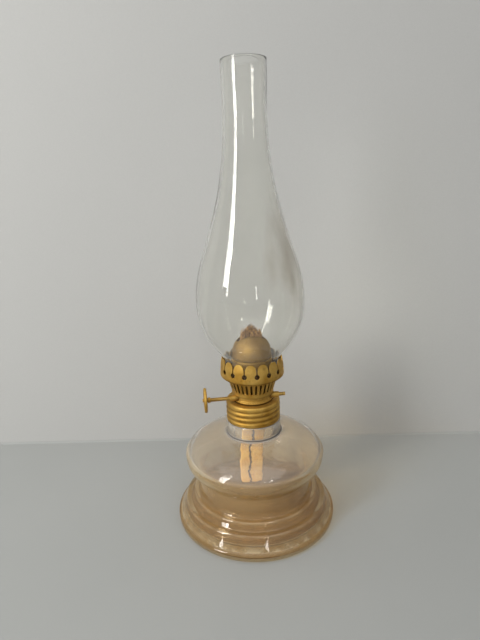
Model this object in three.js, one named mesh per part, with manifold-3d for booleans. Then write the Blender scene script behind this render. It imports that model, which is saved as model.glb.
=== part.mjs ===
// Kerosene lamp with a screw-on flat-wick burner.
// Lengths are millimetres. +Z is up, and the origin lies on the table under the lamp's axis.
// The burner's spindle runs along X, with its knob towards -X.

import * as THREE from 'three';
import { mergeVertices } from 'three/addons/utils/BufferGeometryUtils.js';
import Module from 'manifold-3d';

const wasm = await Module();
wasm.setup();

// Clearances and stock
const seatGap = 0.3;
const slideGap = 0.3;
const sheet = 0.5;
const thinSheet = 0.4;
const overrun = 3;

// Wick and wick tube
const wickWidth = 13.4;
const wickThickness = 2.9;
const wickFloorGap = 10.6;
const tuftRise = 9.5;
const tuftTopWidth = 4.2;
const tubeTopInset = 4.6;
const tubeDrop = 0.6;

// Font, from the table up
const footRadius = 46.8;
const standWidth = 4.6;
const standRound = 2.6;
const standRoundRise = 2.2;
const rimStraight = 1.4;
const rimTopInset = 1.6;
const rimTopRise = 1.8;
const puntRise = 2.4;
const puntSlope = 3;
const stepRound = 2.2;
const lowerStepInset = 4.4;
const lowerStepRise = 7.6;
const upperStepInset = 9.6;
const upperStepRise = 4.5;
const waistInset = 13.3;
const waistCove = 2.6;
const waistStraight = 8;
const bulbRadius = 40.4;
const bulbRise = 12.7;
const shoulderRise = 13;
const neckFillet = 1.6;
const neckLength = 18.4;
const bandLedge = 1;
const neckWall = 2.9;
const lipRound = 0.6;
const fontWall = 2.6;
const floorThickness = 3;
const floorCove = 4.8;
const mouthFillet = 4.2;

// Screw cap and its thread
const capHeight = 12;
const capCorner = 1.5;
const capHem = 0.5;
const threadPitch = 3;
const threadDepth = 0.64;
const threadRunout = 0.9;
const threadLead = 1.7;
const washerThickness = 1;
const washerInset = 0.6;

// Burner neck, spindle and knob
const neckRoom = 2.9;
const neckFlange = 0.8;
const neckAboveSpindle = 3.1;
const boreRoom = 0.9;
const wheelRadius = 3.15;
const wheelWidth = 1.2;
const wheelSpread = 3.4;
const toothDepth = 0.65;
const wheelFloorGap = 0.45;
const spindleRadius = 1.05;
const spindleRun = 0.3;
const spindleFit = 0.2;
const knobReach = 29.1;
const stubReach = 17.8;
const spindleChamfer = 0.35;
const stubGroove = 0.2;
const stubGrooveInset = 1.6;
const bushTipWall = 0.45;
const bushRootWall = 0.65;
const bushLength = 3.3;
const knobRadius = 6.9;
const knobWeb = 0.9;
const knobRim = 1.3;
const knobRimWidth = 0.9;
const knobHubRadius = 2.3;
const knobHubLength = 2;
const knobEndInset = 0.6;
const ferruleRadius = 1.8;
const ferruleLength = 1.5;

// Air basket and gallery crown
const basketOverlap = 1.8;
const basketHeight = 10.2;
const basketCollar = 2.1;
const basketFlange = 1.1;
const basketTopSpread = 2.3;
const slotWidth = 1.1;
const slotMargin = 0.6;
const crownRadius = 17.95;
const crownHeight = 11.3;
const crownCorner = 1.3;
const crownLean = 1.2;
const crownHoleRadius = 1.4;
const crownHoleRise = 4.8;
const crownSlit = 0.7;
const petalRound = 3.7;
const petalTipFlat = 0.6;
const floorLedge = 2.2;

// Diffuser, dome carrier and flame dome
const diffuserHoleRadius = 0.9;
const diffuserHoleInset = 2.1;
const carrierHeight = 9.5;
const carrierFlange = 1.4;
const carrierTaper = 0.7;
const domeSkirtRoom = 4;
const domeHeight = 11.8;
const domeSkirtHem = 0.4;
const domeSkirtRise = 0.5;
const domeShoulderInset = 0.7;
const domeStraight = 1.6;
const domeSlotRoom = 0.8;
const domeSlotSide = 0.8;

// Chimney, from its seat up
const chimneyHeight = 160.3;
const chimneyWall = 1.2;
const chimneyFootRoom = 0.5;
const chimneyFootRise = 7.6;
const chimneyFootSpread = 0.4;
const chimneyBulbRadius = 29.4;
const chimneyBulbRise = 34.2;
const chimneyFlankRadius = 21.2;
const chimneyFlankRise = 35.8;
const chimneyThroatRadius = 10.95;
const chimneyLipRadius = 11.35;
const chimneyLipRise = 18.6;

// Counts
const petalCount = 16;
const slotCount = 32;
const toothCount = 12;
const diffuserHoleCount = 10;
const threadSides = 28;
const burnerSides = 32;
const chimneySides = 28;
const rodSides = 16;
const knobSides = 20;
const holeSides = 8;
const drillSides = 6;
const cornerSteps = 2;
const curveSteps = 4;
const bulbSteps = 5;
const petalSteps = 3;
const slotSteps = 5;
const mergeTolerance = 1e-5;

// Headings of a curve's ends, in degrees from outward towards up
const outward = 0;
const upward = 90;
const inward = 180;
const downward = -90;
const rimHeading = 150;
const stepHeading = 105;
const shelfHeading = 178;
const neckFootHeading = 174;
const footInnerHeading = 118;
const chimneyFlankHeading = 108;

// Shares of a curve's reach by which its ends pull on it
const cornerPullShares = [0.45, 0.45];
const evenPullShares = [0.4, 0.4];
const bulbRisePullShares = [0.36, 0.58];
const shoulderPullShares = [0.24, 0.36];
const footInnerPullShares = [0.36, 0.25];
const domePullShares = [0.46, 0.4];
const chimneyFootPullShares = [0.14, 0.57];
const chimneyBulbPullShares = [0.4, 0.29];
const chimneyThroatPullShares = [0.25, 0.48];

// Heights of a thread's rows in one turn, as shares of its depth
const rolledWaveShares = [1, 1, 0, 0];
const mouldedWaveShares = [1, 0];
const mouldedPhaseShare = 0.125;

// Radii that follow from the wick outwards
const tubeHalfWidth = wickWidth / 2 + slideGap + thinSheet;
const tubeHalfThickness = wickThickness / 2 + slideGap + thinSheet;
const neckInner = tubeHalfWidth + neckRoom;
const neckOuter = neckInner + sheet;
const boreRadius = neckInner + boreRoom;
const threadRoot = boreRadius + neckWall;
const threadCrest = threadRoot + threadDepth;
const glassNeckRadius = threadCrest + bandLedge;
const capInnerCrest = threadCrest + slideGap;
const capOuterCrest = capInnerCrest + sheet;
const domeSkirtRadius = tubeHalfWidth + domeSkirtRoom;
const carrierFootRadius = domeSkirtRadius - carrierTaper;
const carrierFlangeRadius = domeSkirtRadius + carrierFlange;
const chimneyFootInner = carrierFlangeRadius + chimneyFootRoom;
const crownFloorHole = carrierFlangeRadius - floorLedge + carrierFlange;
const basketInner = neckOuter + seatGap;
const basketTopRadius = basketInner + basketTopSpread;
const spindleOffset = wickThickness / 2 + slideGap + wheelRadius;

// Heights that follow from the table up
const puntTop = puntRise;
const floorTop = puntTop + floorThickness;
const rimTop = standRoundRise + rimStraight + rimTopRise;
const lowerStepTop = rimTop + lowerStepRise;
const upperStepTop = lowerStepTop + upperStepRise;
const waistLow = upperStepTop + waistCove;
const waistHigh = waistLow + waistStraight;
const bulbHeight = waistHigh + bulbRise;
const neckFoot = bulbHeight + shoulderRise;
const lipTop = neckFoot + neckLength;
const washerBottom = lipTop + seatGap;
const capUnderside = washerBottom + washerThickness + seatGap;
const capTop = capUnderside + sheet;
const capBottom = capTop - capHeight;
const bandTop = capBottom - slideGap;
const plateTop = capUnderside - seatGap;
const spindleHeight = plateTop + wheelFloorGap + wheelRadius;
const burnerNeckBottom = capTop + seatGap;
const burnerNeckTop = spindleHeight + neckAboveSpindle;
const basketBottom = burnerNeckTop - basketOverlap;
const basketTop = basketBottom + basketHeight;
const crownBottom = basketTop + seatGap;
const crownFloor = crownBottom + sheet;
const seatHeight = crownFloor + seatGap;
const carrierBottom = seatHeight + thinSheet + seatGap;
const carrierTop = carrierBottom + carrierHeight;
const domeBottom = carrierTop + seatGap;
const domeTop = domeBottom + domeHeight;
const tubeTop = domeTop - tubeTopInset;
const tubeBottom = capBottom + tubeDrop;
const wickBottom = floorTop + wickFloorGap;
const tuftBottom = domeTop - tuftRise / 4;
const wickTop = tuftBottom + tuftRise;

// Materials
const glass = new THREE.MeshStandardMaterial({
  color: 0xd8dcd8, roughness: 0.05, metalness: 0, transparent: true, opacity: 0.35,
});
const tintedGlass = new THREE.MeshStandardMaterial({
  color: 0xb99a68, roughness: 0.08, metalness: 0, transparent: true, opacity: 0.5,
});
const brass = new THREE.MeshStandardMaterial({ color: 0xb48c3c, roughness: 0.38, metalness: 1 });
const domeBrass = new THREE.MeshStandardMaterial({ color: 0x967d55, roughness: 0.5, metalness: 1 });
const darkBrass = new THREE.MeshStandardMaterial({ color: 0x8a6c34, roughness: 0.42, metalness: 1 });
const cotton = new THREE.MeshStandardMaterial({ color: 0xf0cf94, roughness: 0.95, metalness: 0 });
const rubber = new THREE.MeshStandardMaterial({ color: 0x2b2724, roughness: 0.85, metalness: 0 });

const lamp = new THREE.Group();

function addMesh(parent, name, geometry, material) {
  const mesh = new THREE.Mesh(geometry, material);
  mesh.name = name;
  parent.add(mesh);
  return mesh;
}

// Geometry helpers

function point(radius, height) {
  return new THREE.Vector2(radius, height);
}

function heading(degrees) {
  const angle = THREE.MathUtils.degToRad(degrees);
  return new THREE.Vector2(Math.cos(angle), Math.sin(angle));
}

// A smooth run of points. Each end has its own heading, in degrees from outward towards up,
// and pulls on the curve by a share of the distance between the ends.
function sweep(start, end, headings, pullShares, steps) {
  const reach = start.distanceTo(end);
  const startPull = heading(headings[0]).multiplyScalar(reach * pullShares[0]);
  const endPull = heading(headings[1]).multiplyScalar(reach * pullShares[1]);
  const afterStart = start.clone().add(startPull);
  const beforeEnd = end.clone().sub(endPull);
  return new THREE.CubicBezierCurve(start, afterStart, beforeEnd, end).getPoints(steps);
}

// Joins points and runs of points into one outline, without its repeated points.
function outline(...runs) {
  const points = [];
  for (const next of runs.flat()) {
    const last = points[points.length - 1];
    const repeated = last !== undefined && last instanceof THREE.Vector2 && next instanceof THREE.Vector2
      && last.distanceTo(next) < mergeTolerance;
    if (!repeated) {
      points.push(next);
    }
  }
  return points;
}

// One closed body: shared corners merged, collapsed triangles dropped, faces pointing out.
function closed(geometry) {
  geometry.deleteAttribute('uv');
  geometry.deleteAttribute('normal');
  const merged = mergeVertices(geometry, mergeTolerance);
  const source = merged.getIndex().array;
  const position = merged.getAttribute('position');
  const kept = [];
  const a = new THREE.Vector3();
  const b = new THREE.Vector3();
  const c = new THREE.Vector3();
  let volume = 0;
  for (let i = 0; i < source.length; i += 3) {
    const corners = [source[i], source[i + 1], source[i + 2]];
    if (new Set(corners).size === 3) {
      kept.push(...corners);
      a.fromBufferAttribute(position, corners[0]);
      b.fromBufferAttribute(position, corners[1]);
      c.fromBufferAttribute(position, corners[2]);
      volume += a.dot(b.cross(c));
    }
  }
  if (volume < 0) {
    kept.reverse();
  }
  merged.setIndex(kept);
  return merged;
}

function toSolid(geometry) {
  const body = closed(geometry);
  return new wasm.Manifold(new wasm.Mesh({
    numProp: 3,
    vertProperties: new Float32Array(body.getAttribute('position').array),
    triVerts: new Uint32Array(body.getIndex().array),
  }));
}

function fromSolid(solid) {
  const mesh = solid.getMesh();
  const geometry = new THREE.BufferGeometry();
  geometry.setAttribute('position', new THREE.BufferAttribute(new Float32Array(mesh.vertProperties), 3));
  geometry.setIndex(new THREE.BufferAttribute(new Uint32Array(mesh.triVerts), 1));
  return geometry;
}

// Revolves an outline about Z. An outline that misses the axis is closed on itself.
function revolve(points, sides, startShare = 0) {
  const ring = [...points];
  if (points[0].x > 0) {
    ring.push(points[0].clone());
  }
  const start = (startShare * 2 * Math.PI) / sides;
  return closed(new THREE.LatheGeometry(ring, sides, start).rotateX(Math.PI / 2));
}

// Revolves rows of which some climb as they turn. A row is a point, or a function from the share of
// a turn, counted from -Y towards +X, to a point. The last row joins the first.
function revolveRows(rows, sides) {
  const positions = [];
  const index = [];
  for (let column = 0; column <= sides; column += 1) {
    const share = column / sides;
    const angle = 2 * Math.PI * share;
    for (const row of rows) {
      const at = typeof row === 'function' ? row(share) : row;
      positions.push(at.x * Math.sin(angle), -at.x * Math.cos(angle), at.y);
    }
  }
  for (let column = 0; column < sides; column += 1) {
    for (let row = 0; row < rows.length; row += 1) {
      const next = (row + 1) % rows.length;
      const near = column * rows.length;
      const far = near + rows.length;
      index.push(near + row, far + row, far + next, near + row, far + next, near + next);
    }
  }
  const geometry = new THREE.BufferGeometry();
  geometry.setAttribute('position', new THREE.Float32BufferAttribute(positions, 3));
  geometry.setIndex(index);
  return closed(geometry);
}

// Rows of a right-hand thread between two heights. The waveShares give the height of each row of
// one turn between the root, 0, and the crest, 1. Near both ends the thread runs out to endRadius.
function threadRows(low, high, root, endRadius, waveShares, phaseShare) {
  const perTurn = waveShares.length;
  const rowPitch = threadPitch / perTurn;
  const start = capBottom - threadLead + phaseShare * threadPitch;
  const first = Math.floor((low - start) / rowPitch) - perTurn;
  const last = Math.ceil((high - start) / rowPitch);
  const rows = [];
  for (let row = first; row <= last; row += 1) {
    const wave = waveShares[((row % perTurn) + perTurn) % perTurn];
    rows.push((share) => {
      const height = THREE.MathUtils.clamp(start + (row + perTurn * share) * rowPitch, low, high);
      const fade = THREE.MathUtils.clamp(Math.min(height - low, high - height) / threadRunout, 0, 1);
      return point(endRadius + (root + wave * threadDepth - endRadius) * fade, height);
    });
  }
  return rows;
}

function extrude(shape, depth, curveSegments) {
  return new THREE.ExtrudeGeometry(shape, { depth, bevelEnabled: false, curveSegments });
}

// A flat outline in X and Z, extruded along Y and centred on it.
function slab(shape, thickness) {
  const geometry = extrude(shape, thickness, petalSteps);
  return geometry.translate(0, 0, -thickness / 2).rotateX(Math.PI / 2);
}

function box(width, depth, height) {
  return new THREE.BoxGeometry(width, depth, height);
}

function roundedSlot(halfWidth, halfThickness) {
  const reach = halfWidth - halfThickness;
  const shape = new THREE.Shape();
  shape.absarc(reach, 0, halfThickness, -Math.PI / 2, Math.PI / 2, false);
  shape.absarc(-reach, 0, halfThickness, Math.PI / 2, (3 * Math.PI) / 2, false);
  return shape;
}

function upright(shape, bottom, height) {
  return extrude(shape, height, slotSteps).translate(0, 0, bottom);
}

// Font: one chamber of moulded glass, with a pushed-up base, two stepped rings, a waist and a bulb
function fontOutside() {
  const stand = footRadius - standRound;
  const lowerRadius = footRadius - lowerStepInset;
  const upperRadius = footRadius - upperStepInset;
  const waistRadius = footRadius - waistInset;
  const cove = (lowerRadius - stepRound - upperRadius) / 2;
  return outline(
    point(0, puntTop),
    point(stand - standWidth - puntSlope, puntTop),
    point(stand - standWidth, 0),
    sweep(
      point(stand, 0),
      point(footRadius, standRoundRise),
      [outward, upward], evenPullShares, cornerSteps,
    ),
    sweep(
      point(footRadius, standRoundRise + rimStraight),
      point(footRadius - rimTopInset, rimTop),
      [upward, rimHeading], evenPullShares, cornerSteps,
    ),
    sweep(
      point(lowerRadius, lowerStepTop - stepRound),
      point(lowerRadius - stepRound, lowerStepTop),
      [stepHeading, shelfHeading], cornerPullShares, cornerSteps,
    ),
    point(upperRadius + cove, lowerStepTop),
    sweep(
      point(upperRadius, upperStepTop - stepRound),
      point(upperRadius - stepRound, upperStepTop),
      [stepHeading, shelfHeading], cornerPullShares, cornerSteps,
    ),
    sweep(
      point(upperRadius - stepRound, upperStepTop),
      point(waistRadius, waistLow),
      [shelfHeading, upward], evenPullShares, cornerSteps,
    ),
    sweep(
      point(waistRadius, waistHigh),
      point(bulbRadius, bulbHeight),
      [upward, upward], bulbRisePullShares, curveSteps,
    ),
    sweep(
      point(bulbRadius, bulbHeight),
      point(glassNeckRadius + neckFillet, neckFoot),
      [upward, neckFootHeading], shoulderPullShares, bulbSteps,
    ),
    point(glassNeckRadius, neckFoot + neckFillet),
    point(glassNeckRadius, bandTop - lipRound),
    point(glassNeckRadius - lipRound, bandTop),
    point(threadRoot, bandTop),
  );
}

function fontInside() {
  const footInner = footRadius - rimTopInset - lowerStepInset;
  const waistInner = footRadius - waistInset - fontWall;
  const bulbInner = bulbRadius - fontWall;
  const shoulderInner = point(boreRadius + mouthFillet, neckFoot - fontWall);
  return outline(
    point(0, floorTop),
    sweep(
      point(footInner - floorCove, floorTop),
      point(footInner, floorTop + fontWall),
      [outward, stepHeading], evenPullShares, cornerSteps,
    ),
    sweep(
      point(footInner, floorTop + fontWall),
      point(waistInner, waistLow),
      [footInnerHeading, upward], footInnerPullShares, cornerSteps,
    ),
    sweep(
      point(waistInner, waistHigh),
      point(bulbInner, bulbHeight),
      [upward, upward], bulbRisePullShares, curveSteps - 1,
    ),
    sweep(
      point(bulbInner, bulbHeight),
      shoulderInner,
      [upward, neckFootHeading], shoulderPullShares, curveSteps,
    ),
    sweep(
      shoulderInner,
      point(boreRadius, neckFoot + neckFillet),
      [neckFootHeading, upward], evenPullShares, cornerSteps,
    ),
    point(boreRadius, lipTop - lipRound),
  );
}

function glassFont() {
  const threadTop = lipTop - lipRound;
  const thread = threadRows(
    bandTop + slideGap, threadTop, threadRoot, threadRoot, mouldedWaveShares, mouldedPhaseShare,
  );
  return revolveRows([
    ...fontOutside(),
    ...thread,
    point(threadRoot - lipRound, lipTop),
    point(boreRadius + lipRound, lipTop),
    ...fontInside().reverse(),
  ], threadSides);
}

addMesh(lamp, 'glass_font', glassFont(), tintedGlass);

// Washer between the font's lip and the screw cap
const washerRadius = threadRoot - washerInset + seatGap;
addMesh(lamp, 'neck_washer', revolve([
  point(boreRadius, washerBottom),
  point(washerRadius, washerBottom),
  point(washerRadius, washerBottom + washerThickness),
  point(boreRadius, washerBottom + washerThickness),
], threadSides), rubber);

// Everything that turns with the screw cap
const burner = new THREE.Group();
lamp.add(burner);

// Screw cap: sheet brass with the thread rolled through it
function screwCap() {
  const outerRoot = capOuterCrest - threadDepth;
  const innerRoot = capInnerCrest - threadDepth;
  const threadLow = capBottom + capHem;
  const threadHigh = capTop - capCorner - capHem;
  const skirtOuter = capOuterCrest - threadDepth / 3;
  const skirtInner = skirtOuter - sheet;
  const hole = neckInner - thinSheet;
  const outerThread = threadRows(
    threadLow, threadHigh, outerRoot, skirtOuter, rolledWaveShares, 0,
  );
  const innerThread = threadRows(
    threadLow, threadHigh, innerRoot, skirtInner, mouldedWaveShares, mouldedPhaseShare,
  );
  const outerCorner = sweep(
    point(skirtOuter, capTop - capCorner),
    point(skirtOuter - capCorner, capTop),
    [upward, inward], cornerPullShares, cornerSteps,
  );
  const innerCorner = sweep(
    point(skirtOuter - capCorner, capUnderside),
    point(skirtInner, capTop - capCorner),
    [outward, downward], cornerPullShares, cornerSteps,
  );
  return revolveRows([
    point(skirtInner, capBottom),
    point(skirtOuter, capBottom),
    ...outerThread,
    ...outerCorner,
    point(hole, capTop),
    point(hole, capUnderside),
    ...innerCorner,
    ...innerThread.reverse(),
  ], threadSides);
}

addMesh(burner, 'screw_cap', screwCap(), brass);

// Plate that closes the cap's hole round the wick tube
function tubePlate() {
  const disc = revolve([
    point(0, plateTop - sheet),
    point(boreRadius - seatGap, plateTop - sheet),
    point(boreRadius - seatGap, plateTop),
    point(0, plateTop),
  ], burnerSides);
  const slot = upright(
    roundedSlot(tubeHalfWidth + seatGap, tubeHalfThickness + seatGap),
    plateTop - sheet - overrun,
    sheet + 2 * overrun,
  );
  return fromSolid(toSolid(disc).subtract(toSolid(slot)));
}

addMesh(burner, 'tube_plate', tubePlate(), darkBrass);

// Flattened tube that holds the wick, with a window in front of each feed wheel
function wickTube() {
  const section = roundedSlot(tubeHalfWidth, tubeHalfThickness);
  section.holes.push(roundedSlot(tubeHalfWidth - thinSheet, tubeHalfThickness - thinSheet));
  let tube = toSolid(upright(section, tubeBottom, tubeTop - tubeBottom));
  const windowWidth = wheelWidth + 2 * slideGap;
  const windowHeight = wheelRadius + 4 * slideGap;
  for (const side of [-1, 1]) {
    const window = box(windowWidth, tubeHalfThickness, windowHeight);
    window.translate(side * wheelSpread, -tubeHalfThickness, spindleHeight);
    tube = tube.subtract(toSolid(window));
  }
  return fromSolid(tube);
}

addMesh(burner, 'wick_tube', wickTube(), darkBrass);

// Burner neck: a short tube with a crimped flange, pierced for the spindle
const flangeRadius = neckOuter + neckFlange;
const flangeTop = burnerNeckBottom + sheet;

function rodAlongX(radius, length, sides) {
  return new THREE.CylinderGeometry(radius, radius, length, sides).rotateZ(Math.PI / 2);
}

function burnerNeck() {
  const wall = revolve([
    point(neckInner, burnerNeckBottom),
    point(flangeRadius, burnerNeckBottom),
    point(flangeRadius, flangeTop),
    point(neckOuter, flangeTop + thinSheet),
    point(neckOuter, burnerNeckTop),
    point(neckInner, burnerNeckTop),
  ], burnerSides);
  const pierce = rodAlongX(spindleRadius + spindleRun, 2 * (neckOuter + overrun), rodSides);
  pierce.translate(0, -spindleOffset, spindleHeight);
  return fromSolid(toSolid(wall).subtract(toSolid(pierce)));
}

addMesh(burner, 'burner_neck', burnerNeck(), brass);

// Bushes that carry the spindle where it leaves the neck, cut to the neck's outside
function spindleBush(side) {
  const bore = spindleRadius + spindleRun;
  const tip = neckOuter + bushLength;
  const cone = revolve([
    point(bore, 0),
    point(bore + bushRootWall, 0),
    point(bore + bushRootWall, tip / 2),
    point(bore + bushTipWall, tip),
    point(bore, tip),
  ], rodSides);
  cone.rotateY((side * Math.PI) / 2);
  cone.translate(0, -spindleOffset, spindleHeight);
  const neckRoomCut = revolve([
    point(0, burnerNeckBottom - overrun),
    point(flangeRadius + seatGap, burnerNeckBottom - overrun),
    point(flangeRadius + seatGap, flangeTop + thinSheet),
    point(neckOuter + seatGap, flangeTop + thinSheet + seatGap),
    point(neckOuter + seatGap, basketBottom - seatGap),
    point(basketInner + thinSheet + seatGap, basketBottom - seatGap),
    point(basketInner + thinSheet + seatGap, basketTop),
    point(0, basketTop),
  ], burnerSides);
  return fromSolid(toSolid(cone).subtract(toSolid(neckRoomCut)));
}

addMesh(burner, 'spindle_bush_left', spindleBush(-1), brass);
addMesh(burner, 'spindle_bush_right', spindleBush(1), brass);

// Air basket: a flared cup of sheet brass with upright slots all round
function airBasket() {
  const collarTop = basketBottom + basketCollar;
  const flangeBottom = basketTop - thinSheet;
  const cup = revolve([
    point(basketInner, basketBottom),
    point(basketInner + thinSheet, basketBottom),
    point(basketInner + thinSheet, collarTop),
    point(basketTopRadius + thinSheet, flangeBottom - thinSheet),
    point(basketTopRadius + basketFlange, flangeBottom),
    point(basketTopRadius + basketFlange, basketTop),
    point(basketTopRadius, basketTop),
    point(basketInner, collarTop + thinSheet),
  ], slotCount, 1 / 2);
  const slotBottom = collarTop + slotMargin;
  const slotTop = flangeBottom - thinSheet - slotMargin;
  let basket = toSolid(cup);
  for (let slot = 0; slot < slotCount; slot += 1) {
    const cutter = box(slotWidth, basketTopRadius, slotTop - slotBottom);
    cutter.translate(0, -basketTopRadius, (slotTop + slotBottom) / 2);
    cutter.rotateZ((2 * Math.PI * slot) / slotCount);
    basket = basket.subtract(toSolid(cutter));
  }
  return fromSolid(basket);
}

addMesh(burner, 'air_basket', airBasket(), brass);

// Gallery crown: a cup whose rim is cut into round petals, each pair parted by a keyhole slit
function crownCutter() {
  const halfPitch = (Math.PI * crownRadius) / petalCount;
  const halfSlit = crownSlit / 2;
  const rim = crownBottom + crownHeight;
  const hole = crownBottom + crownHoleRise;
  const roundLow = rim - petalRound;
  const roundWidth = halfPitch - petalTipFlat - halfSlit;
  const tip = halfSlit + roundWidth;
  const shape = new THREE.Shape();
  shape.moveTo(-halfSlit, hole);
  shape.lineTo(halfSlit, hole);
  shape.lineTo(halfSlit, roundLow);
  shape.absellipse(tip, roundLow, roundWidth, petalRound, Math.PI, Math.PI / 2, true, 0);
  shape.lineTo(tip, rim + overrun);
  shape.lineTo(-tip, rim + overrun);
  shape.lineTo(-tip, rim);
  shape.absellipse(-tip, roundLow, roundWidth, petalRound, Math.PI / 2, 0, true, 0);
  const slit = slab(shape, 2 * overrun).translate(0, -crownRadius, 0);
  const keyhole = new THREE.CylinderGeometry(crownHoleRadius, crownHoleRadius, 2 * overrun, holeSides);
  keyhole.translate(0, -crownRadius, hole);
  return toSolid(slit).add(toSolid(keyhole));
}

function galleryCrown() {
  const rim = crownBottom + crownHeight;
  const tipOuter = crownRadius - crownLean;
  const floorEdge = crownRadius - crownCorner;
  const widest = crownBottom + crownCorner;
  const cup = revolve([
    point(crownFloorHole, crownBottom),
    ...sweep(
      point(floorEdge, crownBottom),
      point(crownRadius, widest),
      [outward, upward], cornerPullShares, cornerSteps,
    ),
    point(tipOuter, rim),
    point(tipOuter - sheet, rim),
    point(crownRadius - sheet, widest + sheet / 2),
    point(floorEdge, crownFloor),
    point(crownFloorHole, crownFloor),
  ], burnerSides);
  let crown = toSolid(cup);
  const cutter = crownCutter();
  for (let petal = 0; petal < petalCount; petal += 1) {
    crown = crown.subtract(cutter.rotate([0, 0, (360 * petal) / petalCount]));
  }
  return fromSolid(crown);
}

addMesh(burner, 'gallery_crown', galleryCrown(), brass);

// Diffuser: a pierced disc that spreads the air round the wick tube
function airDiffuser() {
  const disc = revolve([
    point(0, seatHeight),
    point(carrierFlangeRadius, seatHeight),
    point(carrierFlangeRadius, seatHeight + thinSheet),
    point(0, seatHeight + thinSheet),
  ], burnerSides);
  const slot = upright(
    roundedSlot(tubeHalfWidth + seatGap, tubeHalfThickness + seatGap),
    seatHeight - overrun,
    thinSheet + 2 * overrun,
  );
  let plate = toSolid(disc).subtract(toSolid(slot));
  for (let hole = 0; hole < diffuserHoleCount; hole += 1) {
    const drill = new THREE.CylinderGeometry(
      diffuserHoleRadius, diffuserHoleRadius, 2 * overrun, drillSides,
    );
    drill.rotateX(Math.PI / 2);
    drill.translate(0, -(carrierFootRadius - diffuserHoleInset), seatHeight);
    drill.rotateZ((2 * Math.PI * hole) / diffuserHoleCount);
    plate = plate.subtract(toSolid(drill));
  }
  return fromSolid(plate);
}

addMesh(burner, 'air_diffuser', airDiffuser(), darkBrass);

// Dome carrier: a flanged ring that stands on the diffuser and holds the dome
addMesh(burner, 'dome_carrier', revolve([
  point(carrierFootRadius - thinSheet, carrierBottom),
  point(carrierFlangeRadius, carrierBottom),
  point(carrierFlangeRadius, carrierBottom + thinSheet),
  point(carrierFootRadius + thinSheet, carrierBottom + thinSheet),
  point(carrierFootRadius, carrierBottom + 2 * thinSheet),
  point(domeSkirtRadius, carrierTop),
  point(domeSkirtRadius - thinSheet, carrierTop),
], burnerSides), domeBrass);

// Flame dome: a bell with a slot across its crown for the wick
function flameDome() {
  const shoulder = domeSkirtRadius - domeShoulderInset;
  const hem = domeBottom + domeSkirtHem;
  const shoulderLow = hem + domeSkirtRise;
  const shoulderHigh = shoulderLow + domeStraight;
  const innerBell = sweep(
    point(shoulder - thinSheet, shoulderHigh),
    point(0, domeTop - thinSheet),
    [upward, inward], domePullShares, curveSteps,
  );
  const outerBell = sweep(
    point(shoulder, shoulderHigh),
    point(0, domeTop),
    [upward, inward], domePullShares, curveSteps,
  );
  const bell = revolve(outline(
    innerBell.reverse(),
    point(shoulder - thinSheet, shoulderLow),
    point(domeSkirtRadius - thinSheet, domeBottom),
    point(domeSkirtRadius, domeBottom),
    point(domeSkirtRadius, hem),
    point(shoulder, shoulderLow + domeSkirtRise / 2),
    outerBell,
  ), burnerSides);
  const slotHeight = domeHeight / 2;
  const slot = box(
    2 * (tubeHalfWidth + domeSlotRoom),
    wickThickness + 2 * domeSlotSide,
    slotHeight + overrun,
  ).translate(0, 0, domeTop - slotHeight + (slotHeight + overrun) / 2);
  return fromSolid(toSolid(bell).subtract(toSolid(slot)));
}

addMesh(burner, 'flame_dome', flameDome(), domeBrass);

// Wick: a woven tape that hangs into the font and ends in a trimmed tuft
function wick() {
  const half = wickWidth / 2;
  const tip = tuftTopWidth / 2;
  const shape = new THREE.Shape();
  shape.moveTo(-half, wickBottom);
  shape.lineTo(half, wickBottom);
  shape.lineTo(half, tuftBottom);
  shape.lineTo(tip, wickTop);
  shape.lineTo(-tip, wickTop);
  shape.lineTo(-half, tuftBottom);
  const section = roundedSlot(half, wickThickness / 2);
  const tape = upright(section, wickBottom, wickTop - wickBottom);
  return fromSolid(toSolid(tape).intersect(toSolid(slab(shape, wickThickness))));
}

addMesh(burner, 'wick', wick(), cotton);

// Spindle: the group's origin lies on the spindle's axis, and X runs along it
const spindle = new THREE.Group();
spindle.position.set(0, -spindleOffset, spindleHeight);
burner.add(spindle);

// Revolves an outline of (radius, place along X) about the spindle's axis.
function turned(points, sides) {
  return revolve(points, sides).rotateY(Math.PI / 2);
}

addMesh(spindle, 'spindle', turned([
  point(0, -knobReach),
  point(spindleRadius - spindleChamfer, -knobReach),
  point(spindleRadius, -knobReach + spindleChamfer),
  point(spindleRadius, stubReach - stubGrooveInset - stubGroove),
  point(spindleRadius - stubGroove, stubReach - stubGrooveInset),
  point(spindleRadius, stubReach - stubGrooveInset + stubGroove),
  point(spindleRadius, stubReach - spindleChamfer),
  point(spindleRadius - spindleChamfer, stubReach),
  point(0, stubReach),
], rodSides), darkBrass);

function feedWheel() {
  const shape = new THREE.Shape();
  for (let tooth = 0; tooth < toothCount; tooth += 1) {
    const tip = heading((360 * tooth) / toothCount).multiplyScalar(wheelRadius);
    const root = heading((360 * (tooth + 1 / 2)) / toothCount).multiplyScalar(wheelRadius - toothDepth);
    shape[tooth === 0 ? 'moveTo' : 'lineTo'](tip.x, tip.y);
    shape.lineTo(root.x, root.y);
  }
  const bore = new THREE.Path();
  bore.absarc(0, 0, spindleRadius + spindleFit, 0, 2 * Math.PI, true);
  shape.holes.push(bore);
  const wheel = extrude(shape, wheelWidth, rodSides).translate(0, 0, -wheelWidth / 2);
  return closed(wheel).rotateY(Math.PI / 2);
}

for (const [name, side] of [['feed_wheel_left', -1], ['feed_wheel_right', 1]]) {
  addMesh(spindle, name, feedWheel(), darkBrass).position.x = side * wheelSpread;
}

// Thumb knob: a turned disc with a raised rim and a hub, on the spindle's end
const knobOuterFace = -knobReach + knobEndInset;
const knobInnerFace = knobOuterFace + knobHubLength;
const knobMiddle = (knobOuterFace + knobInnerFace) / 2;

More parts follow.
